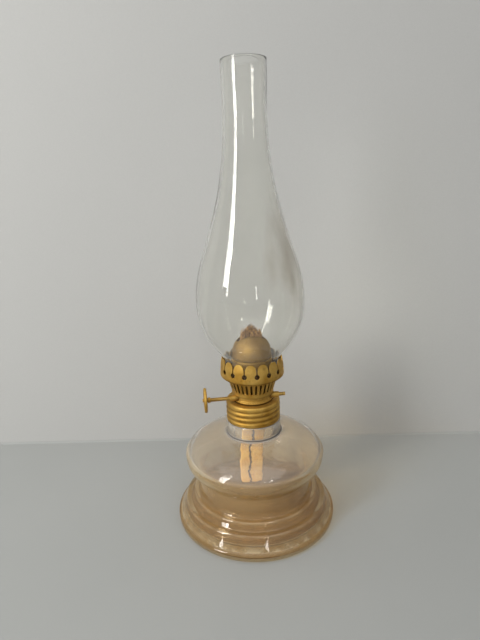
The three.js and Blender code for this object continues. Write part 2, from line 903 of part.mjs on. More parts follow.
addMesh(spindle, 'thumb_knob', turned([
  point(spindleRadius + spindleFit, knobOuterFace),
  point(knobHubRadius, knobOuterFace),
  point(knobHubRadius + sheet, knobMiddle - knobWeb / 2),
  point(knobRadius - knobRimWidth, knobMiddle - knobWeb / 2),
  point(knobRadius - knobRimWidth / 2, knobMiddle - knobRim / 2),
  point(knobRadius, knobMiddle - knobRim / 4),
  point(knobRadius, knobMiddle + knobRim / 4),
  point(knobRadius - knobRimWidth / 2, knobMiddle + knobRim / 2),
  point(knobRadius - knobRimWidth, knobMiddle + knobWeb / 2),
  point(knobHubRadius + sheet, knobMiddle + knobWeb / 2),
  point(knobHubRadius, knobInnerFace),
  point(spindleRadius + spindleFit, knobInnerFace),
], knobSides), brass);

const ferruleStart = knobInnerFace + seatGap;
addMesh(spindle, 'knob_ferrule', turned([
  point(spindleRadius + spindleFit, ferruleStart),
  point(ferruleRadius, ferruleStart),
  point(ferruleRadius, ferruleStart + ferruleLength / 2),
  point(spindleRadius + 2 * spindleFit, ferruleStart + ferruleLength),
  point(spindleRadius + spindleFit, ferruleStart + ferruleLength),
], rodSides), brass);

// Chimney: blown glass with a straight foot, a bulb and a long throat
function chimneySide(inset, steps) {
  const footTop = seatHeight + chimneyFootRise;
  const bulb = footTop + chimneyBulbRise;
  const flank = bulb + chimneyFlankRise;
  const lip = seatHeight + chimneyHeight;
  const throat = lip - chimneyLipRise;
  const foot = chimneyFootInner + chimneyWall - inset;
  return outline(
    point(foot, seatHeight),
    sweep(
      point(foot + chimneyFootSpread, footTop),
      point(chimneyBulbRadius - inset, bulb),
      [upward, upward], chimneyFootPullShares, steps + 2,
    ),
    sweep(
      point(chimneyBulbRadius - inset, bulb),
      point(chimneyFlankRadius - inset, flank),
      [upward, chimneyFlankHeading], chimneyBulbPullShares, steps,
    ),
    sweep(
      point(chimneyFlankRadius - inset, flank),
      point(chimneyThroatRadius - inset, throat),
      [chimneyFlankHeading, upward], chimneyThroatPullShares, steps,
    ),
    point(chimneyLipRadius - inset, lip),
  );
}

function glassChimney() {
  const outside = chimneySide(0, curveSteps);
  const inside = chimneySide(chimneyWall, curveSteps - 1);
  return revolve([...outside, ...inside.reverse()], chimneySides);
}

addMesh(lamp, 'glass_chimney', glassChimney(), glass);

export default lamp;
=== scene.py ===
# Looks of the kerosene lamp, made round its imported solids.
# Sizes are millimetres until a mesh is made. +Z is up and the knob points towards -X.

import math
import random

import bpy
import bmesh
import numpy as np
from mathutils import Matrix, Vector


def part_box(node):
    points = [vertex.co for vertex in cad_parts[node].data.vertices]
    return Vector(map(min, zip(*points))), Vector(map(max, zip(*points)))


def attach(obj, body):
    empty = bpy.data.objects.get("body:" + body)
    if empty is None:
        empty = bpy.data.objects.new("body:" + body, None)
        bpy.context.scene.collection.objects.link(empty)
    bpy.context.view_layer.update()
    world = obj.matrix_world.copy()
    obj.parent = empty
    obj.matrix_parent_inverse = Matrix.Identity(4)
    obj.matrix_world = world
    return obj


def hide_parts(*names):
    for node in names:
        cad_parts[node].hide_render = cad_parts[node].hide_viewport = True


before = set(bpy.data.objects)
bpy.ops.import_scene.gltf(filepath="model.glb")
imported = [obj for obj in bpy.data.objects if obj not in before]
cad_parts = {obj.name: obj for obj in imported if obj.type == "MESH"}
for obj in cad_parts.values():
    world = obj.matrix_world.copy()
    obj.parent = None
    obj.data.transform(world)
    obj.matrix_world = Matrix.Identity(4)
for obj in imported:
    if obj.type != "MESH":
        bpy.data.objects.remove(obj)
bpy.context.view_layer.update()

MM = 0.001
TURN = 2 * math.pi
scene = bpy.context.scene


def node_box(node):
    """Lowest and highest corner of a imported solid, in millimetres."""
    low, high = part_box(node)
    return np.array(low) / MM, np.array(high) / MM


# Clearances and stock
SEAT_GAP = 0.3
SHEET = 0.5
THIN_SHEET = 0.4

# Font, from the table up
FOOT_RADIUS = 46.8
STAND_WIDTH = 4.6
STAND_ROUND = 2.6
STAND_ROUND_RISE = 2.2
RIM_STRAIGHT = 1.4
RIM_TOP_INSET = 1.6
PUNT_RISE = 2.4
PUNT_SLOPE = 3
STEP_ROUND = 2.2
LOWER_STEP_INSET = 4.4
LOWER_STEP_RISE = 7.6
UPPER_STEP_INSET = 9.6
UPPER_STEP_RISE = 4.5
WAIST_INSET = 13.3
WAIST_COVE = 2.6
WAIST_STRAIGHT = 8
BULB_RADIUS = 40.4
BULB_RISE = 12.7
SHOULDER_RISE = 13
NECK_FILLET = 1.6
NECK_LENGTH = 18.4
BAND_LEDGE = 1
LIP_ROUND = 0.6
FONT_WALL = 2.6
FLOOR_THICKNESS = 3
FLOOR_COVE = 4.8
MOUTH_FILLET = 4.2
BORE_RADIUS = 11.2
NECK_WALL = 2.9

# Screw cap and its thread
CAP_CORNER = 1.5
CAP_HEM = 0.5
THREAD_PITCH = 3
THREAD_DEPTH = 0.64
THREAD_RUNOUT = 0.9
THREAD_LEAD = 1.7

# Crown, basket, dome
CROWN_FLOOR = 0.8
CROWN_CORNER = 1.3
CROWN_LEAN = 1.2
CROWN_LEAN_RISE = 6.9
CROWN_HOLE_RADIUS = 1.4
CROWN_HOLE_RISE = 4.8
CROWN_SLIT = 0.7
PETAL_ROUND = 3.7
PETAL_TIP_FLAT = 0.6
PETALS = 16
BASKET_COLLAR = 2.1
BASKET_FLARE = 2.3
BASKET_FLANGE = 1.1
SLOT_WIDTH = 1.1
SLOT_MARGIN = 0.6
SLOTS = 32
CARRIER_FLANGE = 1.4
CARRIER_TAPER = 0.7
DOME_SKIRT_HEM = 0.4
DOME_SKIRT_RISE = 0.5
DOME_SHOULDER_INSET = 0.7
DOME_STRAIGHT = 1.6
DOME_HEIGHT = 11.8
DOME_SLOT_ROOM = 0.8
DOME_SLOT_DEPTH = 5.9

# Chimney
CHIMNEY_WALL = 1.2
CHIMNEY_FOOT_RISE = 7.6
CHIMNEY_FOOT_SPREAD = 0.4
CHIMNEY_BULB_RISE = 34.2
CHIMNEY_FLANK_RADIUS = 21.2
CHIMNEY_FLANK_RISE = 35.8
CHIMNEY_THROAT_RADIUS = 10.95
CHIMNEY_LIP_RADIUS = 11.35
CHIMNEY_LIP_RISE = 18.6

# Headings of a curve's ends in degrees, and how far each end pulls it along
OUTWARD, UPWARD, INWARD = 0, 90, 180
EVEN = (0.4, 0.4)
CORNER = (0.45, 0.45)


def heading(degrees):
    return np.array([math.cos(math.radians(degrees)), math.sin(math.radians(degrees))])


def sweep(start, end, headings, pulls, steps):
    """A smooth run of (radius, height) points with a heading and a pull at each end."""
    start, end = np.array(start, float), np.array(end, float)
    reach = np.linalg.norm(end - start)
    a = start + heading(headings[0]) * reach * pulls[0]
    b = end - heading(headings[1]) * reach * pulls[1]
    t = np.linspace(0, 1, steps + 1)[:, None]
    return (1 - t) ** 3 * start + 3 * (1 - t) ** 2 * t * a + 3 * (1 - t) * t**2 * b + t**3 * end


def line(start, end, steps):
    t = np.linspace(0, 1, steps + 1)[:, None]
    return (1 - t) * np.array(start, float) + t * np.array(end, float)


def outline(*runs):
    """Joins runs of points and leaves out repeated ones."""
    points = [np.atleast_2d(np.array(run, float)) for run in runs]
    points = np.concatenate(points)
    keep = [0]
    for index in range(1, len(points)):
        if np.linalg.norm(points[index] - points[keep[-1]]) > 1e-4:
            keep.append(index)
    return points[keep]


def course(start, *legs):
    """A run from start through the end of each leg. A straight leg is (end, steps), and a curved
    one has its headings and pulls after them."""
    runs = []
    for end, steps, *bend in legs:
        runs.append(sweep(start, end, *bend, steps) if bend else line(start, end, steps))
        start = end
    return outline(*runs)


def rounded(points, radius, steps=4):
    """Rounds each corner of an open run of points, by up to radius."""
    points = np.array(points, float)
    out = [points[0]]
    for before, here, after in zip(points, points[1:], points[2:]):
        back, on = before - here, after - here
        cut = min(radius, np.linalg.norm(back) * 0.45, np.linalg.norm(on) * 0.45)
        start = here + back / np.linalg.norm(back) * cut
        end = here + on / np.linalg.norm(on) * cut
        for t in np.linspace(0, 1, steps + 1):
            out.append((1 - t) ** 2 * start + 2 * t * (1 - t) * here + t**2 * end)
    out.append(points[-1])
    return outline(np.array(out))


def rounded_ring(points, radius, steps=4):
    """Rounds each corner of a closed section."""
    points = np.array(points, float)
    middle = (points[0] + points[-1]) / 2
    return rounded([middle, *points, middle], radius, steps)[:-1]


def near(value, middle, width):
    """1 at the middle, falling smoothly to almost 0 at twice the width."""
    return np.exp(-(((value - middle) / width) ** 2))


def normals_of(path):
    """Unit normals on the left of an open run of points."""
    tangent = np.gradient(path, axis=0)
    tangent /= np.linalg.norm(tangent, axis=1)[:, None]
    return np.stack([-tangent[:, 1], tangent[:, 0]], axis=1)


def sheet_section(path, thickness, edge_steps=5):
    """Closed section of a sheet that lies on the left of path, with rounded edges."""
    normal = normals_of(path)
    half = thickness / 2
    middle = path + normal * thickness / 2
    tangent = np.stack([normal[:, 1], -normal[:, 0]], axis=1)
    turn = np.linspace(0, math.pi, edge_steps + 2)[1:-1, None]
    cosine, sine = half * np.cos(turn), half * np.sin(turn)
    end = middle[-1] - normal[-1] * cosine + tangent[-1] * sine
    start = middle[0] + normal[0] * cosine - tangent[0] * sine
    return np.concatenate([path, end, (path + normal * thickness)[::-1], start])


# Meshes

def new_object(name, vertices, faces):
    mesh = bpy.data.meshes.new(name)
    mesh.from_pydata((np.asarray(vertices) * MM).tolist(), [], [list(face) for face in faces])
    work = bmesh.new()
    work.from_mesh(mesh)
    bmesh.ops.remove_doubles(work, verts=work.verts, dist=1e-7)
    bmesh.ops.recalc_face_normals(work, faces=work.faces)
    for face in work.faces:
        face.smooth = True
    work.to_mesh(mesh)
    work.free()
    made = bpy.data.objects.new(name, mesh)
    scene.collection.objects.link(made)
    return made


def grid_faces(columns, rows, wrap_columns, wrap_rows):
    faces = []
    for column in range(columns if wrap_columns else columns - 1):
        beside = (column + 1) % columns
        for row in range(rows if wrap_rows else rows - 1):
            above = (row + 1) % rows
            faces.append((
                column * rows + row, beside * rows + row,
                beside * rows + above, column * rows + above,
            ))
    return faces


def shut_tube(rows, around):
    """Faces of a run of rings with both ends shut."""
    return [*grid_faces(rows, around, False, True), range(around)[::-1],
            range((rows - 1) * around, rows * around)]


def place(radius, angle, height):
    """Points round the lamp's axis. The angle runs from -Y towards +X."""
    return np.stack([radius * np.sin(angle), -radius * np.cos(angle), height], axis=-1)


def revolve(name, section, sides, shift=None):
    """Turns a closed section about Z, or one that ends on the axis. shift(radius, angle, height)
    gives a radius to add."""
    angle = np.linspace(0, TURN, sides, endpoint=False)[:, None]
    radius = np.broadcast_to(section[:, 0], (sides, len(section)))
    height = np.broadcast_to(section[:, 1], (sides, len(section)))
    if shift is not None:
        radius = radius + shift(radius, angle, height)
    vertices = place(radius, np.broadcast_to(angle, radius.shape), height).reshape(-1, 3)
    closed = section[0, 0] > 1e-6
    return new_object(name, vertices, grid_faces(sides, len(section), True, closed))


def modifier(made, kind, **values):
    added = made.modifiers.new(kind.title(), kind)
    for key, value in values.items():
        setattr(added, key, value)
    return added


def dress(made, material, body, slot, *replaced):
    made.data.materials.clear()
    made.data.materials.append(material)
    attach(made, body)
    if replaced:
        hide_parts(*replaced)
    return made


def apply_modifiers(made):
    """Bakes the modifiers into the mesh."""
    depsgraph = bpy.context.evaluated_depsgraph_get()
    depsgraph.update()
    baked = bpy.data.meshes.new_from_object(made.evaluated_get(depsgraph))
    made.modifiers.clear()
    old = made.data
    made.data = baked
    bpy.data.meshes.remove(old)
    return made


def cut(made, *cutters):
    """Cuts other meshes out of a piece and deletes them."""
    for cutter in cutters:
        modifier(made, "BOOLEAN", operation="DIFFERENCE", solver="EXACT", object=cutter)
    apply_modifiers(made)
    for cutter in cutters:
        bpy.data.objects.remove(cutter)
    return made


def soften(made, width=0.08, segments=2, angle=35):
    """Rounds the cut edges and keeps the broad faces smooth."""
    modifier(
        made, "BEVEL", width=width * MM, segments=segments, limit_method="ANGLE",
        angle_limit=math.radians(angle), harden_normals=False,
    )
    modifier(made, "WEIGHTED_NORMAL", keep_sharp=True, weight=80)
    return apply_modifiers(made)


def ripple(angle, height, waves):
    """A slow wobble between 0 and 1, from (waves round, waves per 100 mm, phase) triples."""
    total = 0
    for around, along, phase in waves:
        total = total + np.cos(around * angle + TURN * along * height / 100 + phase)
    return (total / len(waves) + 1) / 2


# Materials

def srgb(red, green, blue):
    """A colour as a photograph's 0 to 255, as linear light."""
    def linear(value):
        share = value / 255
        return share / 12.92 if share <= 0.04045 else ((share + 0.055) / 1.055) ** 2.4
    return (linear(red), linear(green), linear(blue), 1)


class Finish:
    """A material's nodes. Where a method takes a value, that is a number, a colour or a socket."""

    def __init__(self, name):
        self.material = bpy.data.materials.new(name)
        self.material.use_nodes = True
        self.tree = self.material.node_tree
        self.shader = self.tree.nodes["Principled BSDF"]

    def feed(self, socket, value):
        if isinstance(value, bpy.types.NodeSocket):
            self.tree.links.new(value, socket)
        else:
            socket.default_value = value

    def node(self, kind, values=None, **attributes):
        added = self.tree.nodes.new("ShaderNode" + kind)
        for key, value in attributes.items():
            setattr(added, key, value)
        for key, value in (values or {}).items():
            self.feed(added.inputs[key], value)
        return added

    def set(self, values):
        for key, value in values.items():
            self.feed(self.shader.inputs[key], value)

    def place(self):
        return self.node("TexCoord").outputs["Object"]

    def axis(self, letter):
        return self.node("SeparateXYZ", {"Vector": self.place()}).outputs[letter]

    def attribute(self, name):
        """A number that is stored for each point. It is 0 on a piece without it."""
        return self.node("Attribute", attribute_name=name).outputs["Fac"]

    def noise(self, scale_mm, detail=3, roughness=0.55, stretch=(1, 1, 1)):
        """A noise whose features are about scale_mm wide."""
        mapping = self.node("Mapping", {"Vector": self.place(), "Scale": stretch})
        return self.node("TexNoise", {
            "Vector": mapping.outputs[0], "Scale": 1 / (scale_mm * MM),
            "Detail": detail, "Roughness": roughness,
        }).outputs["Fac"]

    def spread(self, value, low, high, to_low=0, to_high=1):
        """Maps a range of a value to another, clamped."""
        return self.node("MapRange", {
            "Value": value, "From Min": low, "From Max": high, "To Min": to_low, "To Max": to_high,
        }).outputs[0]

    def mix(self, share, first, second):
        return self.node("Mix", {0: share, 6: first, 7: second}, data_type="RGBA").outputs[2]

    def sums(self, operation, first, second):
        return self.node("Math", {0: first, 1: second}, operation=operation).outputs[0]

    def plus(self, first, second):
        return self.sums("ADD", first, second)

    def times(self, first, *others):
        for other in others:
            first = self.sums("MULTIPLY", first, other)
        return first

    def bump(self, height, distance_mm, strength=1, below=None):
        made = self.node("Bump", {
            "Height": height, "Distance": distance_mm * MM, "Strength": strength,
        })
        if below is not None:
            self.feed(made.inputs["Normal"], below)
        self.set({"Normal": made.outputs[0]})
        return made.outputs[0]

    def show(self, share, shader):
        """Shows another shader for a share of the light, from 0 to 1."""
        both = self.node("MixShader", {0: share, 1: self.shader.outputs[0], 2: shader.outputs[0]})
        self.feed(self.tree.nodes["Material Output"].inputs["Surface"], both.outputs[0])

    def clear_shadow(self, tint):
        """Lets lamps shine through the glass."""
        shadow = self.node("LightPath").outputs["Is Shadow Ray"]
        self.show(shadow, self.node("BsdfTransparent", {"Color": tint}))


def brass_material(name, bright, tarnish, dark, roughness, grain):
    """Pressed sheet brass: mottled by age and grained, with painted shade in its grooves and
    hollows, and bright on its edges.
    """
    made = Finish(name)
    spread, noise = made.spread, made.noise
    painted_shade = made.attribute("painted_shade")
    colour = made.mix(spread(noise(9, 4), 0.38, 0.66), bright, tarnish)
    colour = made.mix(spread(noise(0.55, 4, 0.7), 0.52, 0.72, 0, 0.45), colour, tarnish)
    colour = made.mix(spread(noise(3.2, 5, 0.65), 0.6, 0.74, 0, 0.5), colour, dark)
    # Painted shade: the stored number darkens and roughens grooves, hollows and the joins between
    # parts.
    colour = made.mix(painted_shade, colour, dark)
    edge = made.node("NewGeometry").outputs["Pointiness"]
    rough = spread(noise(2.4, 4), 0.3, 0.7, roughness - 0.07, roughness + 0.1)
    made.set({
        "Base Color": made.mix(spread(edge, 0.53, 0.6, 0, 0.5), colour, bright),
        "Metallic": 0.9,
        "Roughness": made.plus(rough, made.times(painted_shade, 0.2)),
    })
    under = made.bump(noise(5, 2), 0.12, 0.5)
    made.bump(noise(0.35, 3, 0.7), grain, 1, under)
    return made.material


def chimney_glass_material():
    """Thin blown glass, wiped but not quite clean."""
    made = Finish("chimney_glass")
    spread, noise, times, plus = made.spread, made.noise, made.times, made.plus
    across, up = made.axis("X"), made.axis("Z")
    low = spread(up, 0.092, 0.125, 1, 0)
    smear = spread(noise(22, 5, 0.6, (1, 1, 0.45)), 0.45, 0.8)
    dust = spread(noise(0.8), 0.62, 0.75)
    film = plus(plus(times(smear, 0.05), times(low, 0.05)), times(dust, 0.04))
    # Painted shade: a greyish brown tint in patches on the +X flank of the bulb, away from the
    # window lights, which also lets less light through.
    flank = times(spread(up, 0.12, 0.15), spread(up, 0.2, 0.175))
    patches = spread(noise(15, 4, stretch=(1, 1, 0.4)), 0.3, 0.75)
    flank = times(spread(across, 0.011, 0.019), flank, patches)
    clean = made.mix(film, srgb(246, 246, 243), srgb(205, 200, 190))
    made.set({
        "Base Color": made.mix(flank, clean, srgb(184, 174, 158)),
        "Transmission Weight": made.sums("SUBTRACT", 0.985, plus(film, times(flank, 0.05))),
        "Roughness": spread(smear, 0, 1, 0.01, 0.07),
        "IOR": 1.47,
    })
    made.bump(noise(16, 1, stretch=(1, 1, 0.3)), 0.35, 0.25)
    made.clear_shadow((0.93, 0.93, 0.92, 1))
    return made.material


def font_glass_material():
    """Thick clear moulded glass. Old oil has stained its lining amber up to the widest ring."""
    made = Finish("font_glass")
    spread, noise, times, plus, mix = made.spread, made.noise, made.times, made.plus, made.mix
    up = made.axis("Z")
    lining, ridge_highlight, neck_shade_ring = (made.attribute(name) for name in ("lining", "ridge_highlight", "painted_shade"))
    low = spread(up, 0.0412, 0.0428, 1, 0)
    cloud = spread(noise(14, 4), 0.3, 0.7)
    amber = mix(cloud, srgb(206, 180, 128), srgb(184, 154, 100))
    amber = mix(spread(up, 0.006, 0.014, 0.75, 0), amber, srgb(156, 118, 56))
    amber = mix(spread(up, 0.018, 0.025, 0, 0.82), amber, srgb(240, 222, 186))
    outside = mix(cloud, srgb(216, 200, 168), srgb(196, 177, 142))
    # Painted shade: the outer slope between the stand and the lower step is painted a deeper amber
    # and made hazier, in place of the dark bottom seen through the glass.
    rim = times(spread(up, 0.003, 0.0038), spread(up, 0.0095, 0.0075))
    outside = mix(times(rim, 0.85), outside, srgb(188, 146, 84))
    clear = mix(cloud, srgb(244, 242, 238), srgb(230, 225, 218))
    colour = mix(low, clear, mix(lining, outside, amber))
    stains = times(spread(noise(2.2, 6, 0.7), 0.64, 0.74), times(low, 0.6))
    colour = mix(stains, colour, srgb(112, 74, 38))
    # Painted highlight: pale, hazier lines along the tops of the foot's steps and under the widest
    # ring.
    ridge_highlight = times(ridge_highlight, spread(noise(5, 4), 0.35, 0.6, 0.25, 1))
    colour = mix(ridge_highlight, colour, srgb(232, 216, 182))
    band = times(spread(up, 0.0562, 0.0572), spread(noise(2.6, 4), 0.35, 0.65, 0.3, 1))
    haze = spread(low, 0, 1, 0.07, 0.02)
    for share, strength in (
        (times(low, spread(lining, 0, 1, 0.05, 0.24)), 1), (cloud, 0.05), (stains, 0.5),
        (band, 0.13), (ridge_highlight, 0.26), (rim, 0.1), (neck_shade_ring, 0.95),
    ):
        haze = plus(haze, times(share, strength))
    rough = spread(cloud, 0, 1, 0.02, 0.07)
    # Painted shade: the ring stored at the foot of the glass neck is made dark, hazy and rough.
    made.set({
        "Base Color": mix(neck_shade_ring, colour, srgb(34, 24, 16)),
        "Transmission Weight": spread(haze, 0, 1, 1, 0),
        "Roughness": made.sums("MAXIMUM", rough, times(neck_shade_ring, 0.7)),
        "IOR": 1.5,
    })
    made.bump(noise(10, 2), 0.7, 0.42)
    made.clear_shadow((0.86, 0.8, 0.68, 1))
    return made.material


def cotton_material():
    """Ribbed cotton tape: cream where the oil soaks it, brown at the burnt tuft, with painted shade
    in the seam and among the tuft's threads.
    """
    made = Finish("wick_cotton")
    spread, noise, mix = made.spread, made.noise, made.mix
    soaked = mix(spread(noise(3, 5), 0.3, 0.7), srgb(255, 216, 128), srgb(240, 188, 98))
    soaked = mix(spread(noise(1.3), 0.66, 0.72, 0, 0.6), soaked, srgb(120, 78, 34))
    dry = mix(spread(noise(1.2, 4), 0.44, 0.56), srgb(226, 178, 106), srgb(146, 98, 46))
    colour = mix(spread(made.axis("Z"), 0.08, 0.106), soaked, dry)
    # Painted shade: the stored number darkens the seam between the plies and the gaps among the
    # tuft's threads.
    colour = mix(made.attribute("painted_shade"), colour, srgb(40, 24, 10))
    across, along = (made.node("TexWave", {
        "Vector": made.place(), "Scale": scale, "Distortion": distortion, "Detail": 2,
        "Detail Scale": 3,
    }, bands_direction=direction).outputs["Fac"] for direction, scale, distortion in (
        ("Z", 180, 1.2), ("X", 230, 0.8)))
    weave = made.plus(across, along)
    made.set({
        "Base Color": mix(spread(weave, 0.2, 0.9, 0.24, 0), colour, srgb(150, 104, 50)),
        "Roughness": 0.9, "Sheen Weight": 0.12, "Sheen Roughness": 0.4,
    })
    under = made.bump(weave, 0.12, 0.6)
    made.bump(noise(0.3), 0.08, 0.7, under)
    return made.material


def rubber_material():
    made = Finish("washer_rubber")
    spread, noise = made.spread, made.noise
    made.set({
        "Base Color": made.mix(spread(noise(1.5), 0.35, 0.7), srgb(46, 42, 40), srgb(74, 68, 62)),
        "Roughness": spread(noise(0.8), 0.3, 0.7, 0.7, 0.9),
    })
    made.bump(noise(0.3), 0.05, 0.5)
    return made.material


brass = brass_material(
    "brass", srgb(205, 167, 87), srgb(171, 129, 52), srgb(84, 54, 16), 0.52, 0.04)
dome_brass = brass_material(
    "dome_brass", srgb(162, 131, 72), srgb(132, 101, 49), srgb(76, 54, 26), 0.66, 0.045)
dark_brass = brass_material(
    "dark_brass", srgb(196, 160, 88), srgb(146, 108, 50), srgb(60, 40, 16), 0.38, 0.025)
font_glass = font_glass_material()
chimney_glass = chimney_glass_material()
cotton = cotton_material()
rubber = rubber_material()


def positions(made):
    """The points of a mesh, in millimetres."""
    flat = np.empty(len(made.data.vertices) * 3)
    made.data.vertices.foreach_get("co", flat)
    return flat.reshape(-1, 3) / MM


def store(made, name, values):
    """Stores a number from 0 to 1 for each point, for the material to read."""
    layer = made.data.attributes.new(name, "FLOAT", "POINT")
    layer.data.foreach_set("value", np.clip(values, 0, 1).astype(np.float32))


def set_painted_shade(made, value):
    """Stores painted shade for each point, darkest in grooves, hollows and joins. value(x, y, z)
    gives 0 to 1.
    """
    store(made, "painted_shade", value(*positions(made).T))


# Font: one chamber of moulded glass

lip_top = node_box("glass_font")[1][2]
neck_foot = lip_top - NECK_LENGTH
bulb_height = neck_foot - SHOULDER_RISE
waist_high = bulb_height - BULB_RISE
waist_low = waist_high - WAIST_STRAIGHT
upper_step_top = waist_low - WAIST_COVE
lower_step_top = upper_step_top - UPPER_STEP_RISE
rim_top = lower_step_top - LOWER_STEP_RISE
floor_top = PUNT_RISE + FLOOR_THICKNESS
thread_root = BORE_RADIUS + NECK_WALL
thread_crest = thread_root + THREAD_DEPTH
glass_neck_radius = thread_crest + BAND_LEDGE

cap_low, cap_high = node_box("screw_cap")
cap_bottom, cap_top = cap_low[2], cap_high[2]
cap_radius = cap_high[0]
band_top = cap_bottom - SEAT_GAP
thread_start = cap_bottom - THREAD_LEAD
CREST_PHASE = 0.125


def thread_wave(angle, height):
    """The thread's height between its root, 0, and its crest, 1: a right-hand helix."""
    phase = (height - thread_start) / THREAD_PITCH - angle / TURN
    return 0.5 + 0.5 * np.cos(TURN * (phase - CREST_PHASE))


def runout(height, low, high):
    """1 along the thread and 0 at its ends."""
    return np.clip(np.minimum(height - low, high - height) / THREAD_RUNOUT, 0, 1)


FONT_PULLS = (0.36, 0.58)
SHOULDER_PULLS = (0.24, 0.36)
SHOULDER_END = 174
INNER_WOBBLE, OUTER_WOBBLE = 0.6, 0.2
BEAD, BEAD_RISE, BEAD_WIDTH = 0.3, 1.3, 0.55
SEAM, SEAM_ANGLE, SEAM_WIDTH = 0.2, 0.95, 0.45
RIDGE_HIGHLIGHT_WIDTH = 0.6
NECK_SHADE_RISE, NECK_SHADE_WIDTH = 0.8, 0.6


def font_outside():
    stand = FOOT_RADIUS - STAND_ROUND
    lower = FOOT_RADIUS - LOWER_STEP_INSET
    upper = FOOT_RADIUS - UPPER_STEP_INSET
    waist = FOOT_RADIUS - WAIST_INSET
    cove = (lower - STEP_ROUND - upper) / 2
    base = rounded([
        (0, PUNT_RISE),
        (stand - STAND_WIDTH - PUNT_SLOPE, PUNT_RISE),
        (stand - STAND_WIDTH, 0),
        (stand - STAND_WIDTH / 2, 0),
    ], 0.7)
    steps = course(
        (stand, 0),
        ((FOOT_RADIUS, STAND_ROUND_RISE), 6, (OUTWARD, UPWARD), EVEN),
        ((FOOT_RADIUS, STAND_ROUND_RISE + RIM_STRAIGHT), 1),
        ((FOOT_RADIUS - RIM_TOP_INSET, rim_top), 6, (UPWARD, 150), EVEN),
        ((lower, lower_step_top - STEP_ROUND), 1),
        ((lower - STEP_ROUND, lower_step_top), 7, (105, 178), CORNER),
        ((upper + cove, lower_step_top), 1),
        ((upper, upper_step_top - STEP_ROUND), 1),
        ((upper - STEP_ROUND, upper_step_top), 7, (100, 178), CORNER),
        ((waist, waist_low), 8, (178, UPWARD), EVEN),
    )
    body = course(
        (waist, waist_low),
        ((waist, waist_high), 6),
        ((BULB_RADIUS, bulb_height), 22, (UPWARD, UPWARD), FONT_PULLS),
        ((glass_neck_radius + NECK_FILLET, neck_foot), 26, (UPWARD, SHOULDER_END), SHOULDER_PULLS),
        ((glass_neck_radius, neck_foot + NECK_FILLET), 5, (SHOULDER_END, UPWARD), CORNER),
        ((glass_neck_radius, band_top - LIP_ROUND), 4),
        ((glass_neck_radius - LIP_ROUND, band_top), 4, (UPWARD, INWARD), CORNER),
    )
    return outline(base, rounded(steps, 0.9, 3), body)


def font_inside():
    foot = FOOT_RADIUS - RIM_TOP_INSET - LOWER_STEP_INSET + 0.9
    waist = FOOT_RADIUS - WAIST_INSET - FONT_WALL
    bulb = BULB_RADIUS - FONT_WALL
    shoulder = (BORE_RADIUS + MOUTH_FILLET, neck_foot - FONT_WALL)
    return course(
        (0, floor_top),
        ((foot - FLOOR_COVE, floor_top), 8),
        ((foot, floor_top + FONT_WALL), 7, (OUTWARD, 105), EVEN),
        ((waist, waist_low), 12, (118, UPWARD), (0.36, 0.25)),
        ((waist, waist_high), 6),
        ((bulb, bulb_height), 22, (UPWARD, UPWARD), FONT_PULLS),
        (shoulder, 26, (UPWARD, SHOULDER_END), SHOULDER_PULLS),
        ((BORE_RADIUS, neck_foot + NECK_FILLET), 8, (SHOULDER_END, UPWARD), EVEN),
        ((BORE_RADIUS, lip_top - LIP_ROUND), 1),
    )


def make_font():
    thread_low, thread_high = band_top + SEAT_GAP, lip_top - LIP_ROUND
    outside, inside = font_outside(), font_inside()
    neck = course(
        (thread_root, band_top),
        ((thread_root, thread_high), 40),
        ((thread_root - LIP_ROUND, lip_top), 4, (UPWARD, INWARD), CORNER),
        ((BORE_RADIUS + LIP_ROUND, lip_top), 1),
        ((BORE_RADIUS, lip_top - LIP_ROUND), 4, (INWARD, -UPWARD), CORNER),
    )
    section = outline(outside, neck, inside[::-1])
    row = np.arange(len(section))

    def shift(radius, angle, height):
        on_thread = (np.abs(radius - thread_root) < 0.01) & (height > thread_low)
        rise = THREAD_DEPTH * on_thread * thread_wave(angle, height)
        rise = rise * runout(height, thread_low, thread_high)
        inner = (row >= len(section) - len(inside)) & (radius > 1)
        outer = ~inner & (height < band_top - 1) & (height > rim_top)
        wave = ripple(angle, height, ((3, 1.1, 0.4), (5, -2.3, 1.9), (2, 3.9, 4.0), (7, 1.7, 2.6)))
        detail = BEAD * near(height, bulb_height + BEAD_RISE, BEAD_WIDTH) - OUTER_WOBBLE * wave
        for seam in (-SEAM_ANGLE, math.pi - SEAM_ANGLE):
            away = np.abs((angle - seam + math.pi) % TURN - math.pi) * radius
            detail = detail + SEAM * near(away, 0, SEAM_WIDTH)
        return rise - INNER_WOBBLE * wave * (inner & (height < neck_foot)) + detail * outer

    made = revolve("font_bowl", section, 256, shift)
    x, y, z = positions(made).T
    spot = np.stack([np.hypot(x, y), z], axis=1)

    def nearest(run):
        return np.min([np.hypot(*(spot - corner).T) for corner in run], axis=0)

    lining = nearest(inside) < nearest(outside)
    store(made, "lining", lining)
    # Painted highlight: points along the tops of the steps and under the widest ring, on the
    # outside, are stored to be painted pale.
    steps = [
        (FOOT_RADIUS - RIM_TOP_INSET - 0.4, rim_top),
        (FOOT_RADIUS - LOWER_STEP_INSET - 0.5, lower_step_top - 0.4),
        (FOOT_RADIUS - UPPER_STEP_INSET - 0.5, upper_step_top - 0.4),
        (BULB_RADIUS, bulb_height - 0.5),
    ]
    store(made, "ridge_highlight", near(nearest(steps), 0, RIDGE_HIGHLIGHT_WIDTH) * ~lining)
    # Painted shade: a dark ring in the crease at the foot of the glass neck, on the outside only.
    store(made, "painted_shade", near(z, neck_foot + NECK_SHADE_RISE, NECK_SHADE_WIDTH) * ~lining)
    dress(made, font_glass, "font", "font_glass", "glass_font")


make_font()


# Chimney: thin blown glass with fire-polished ends

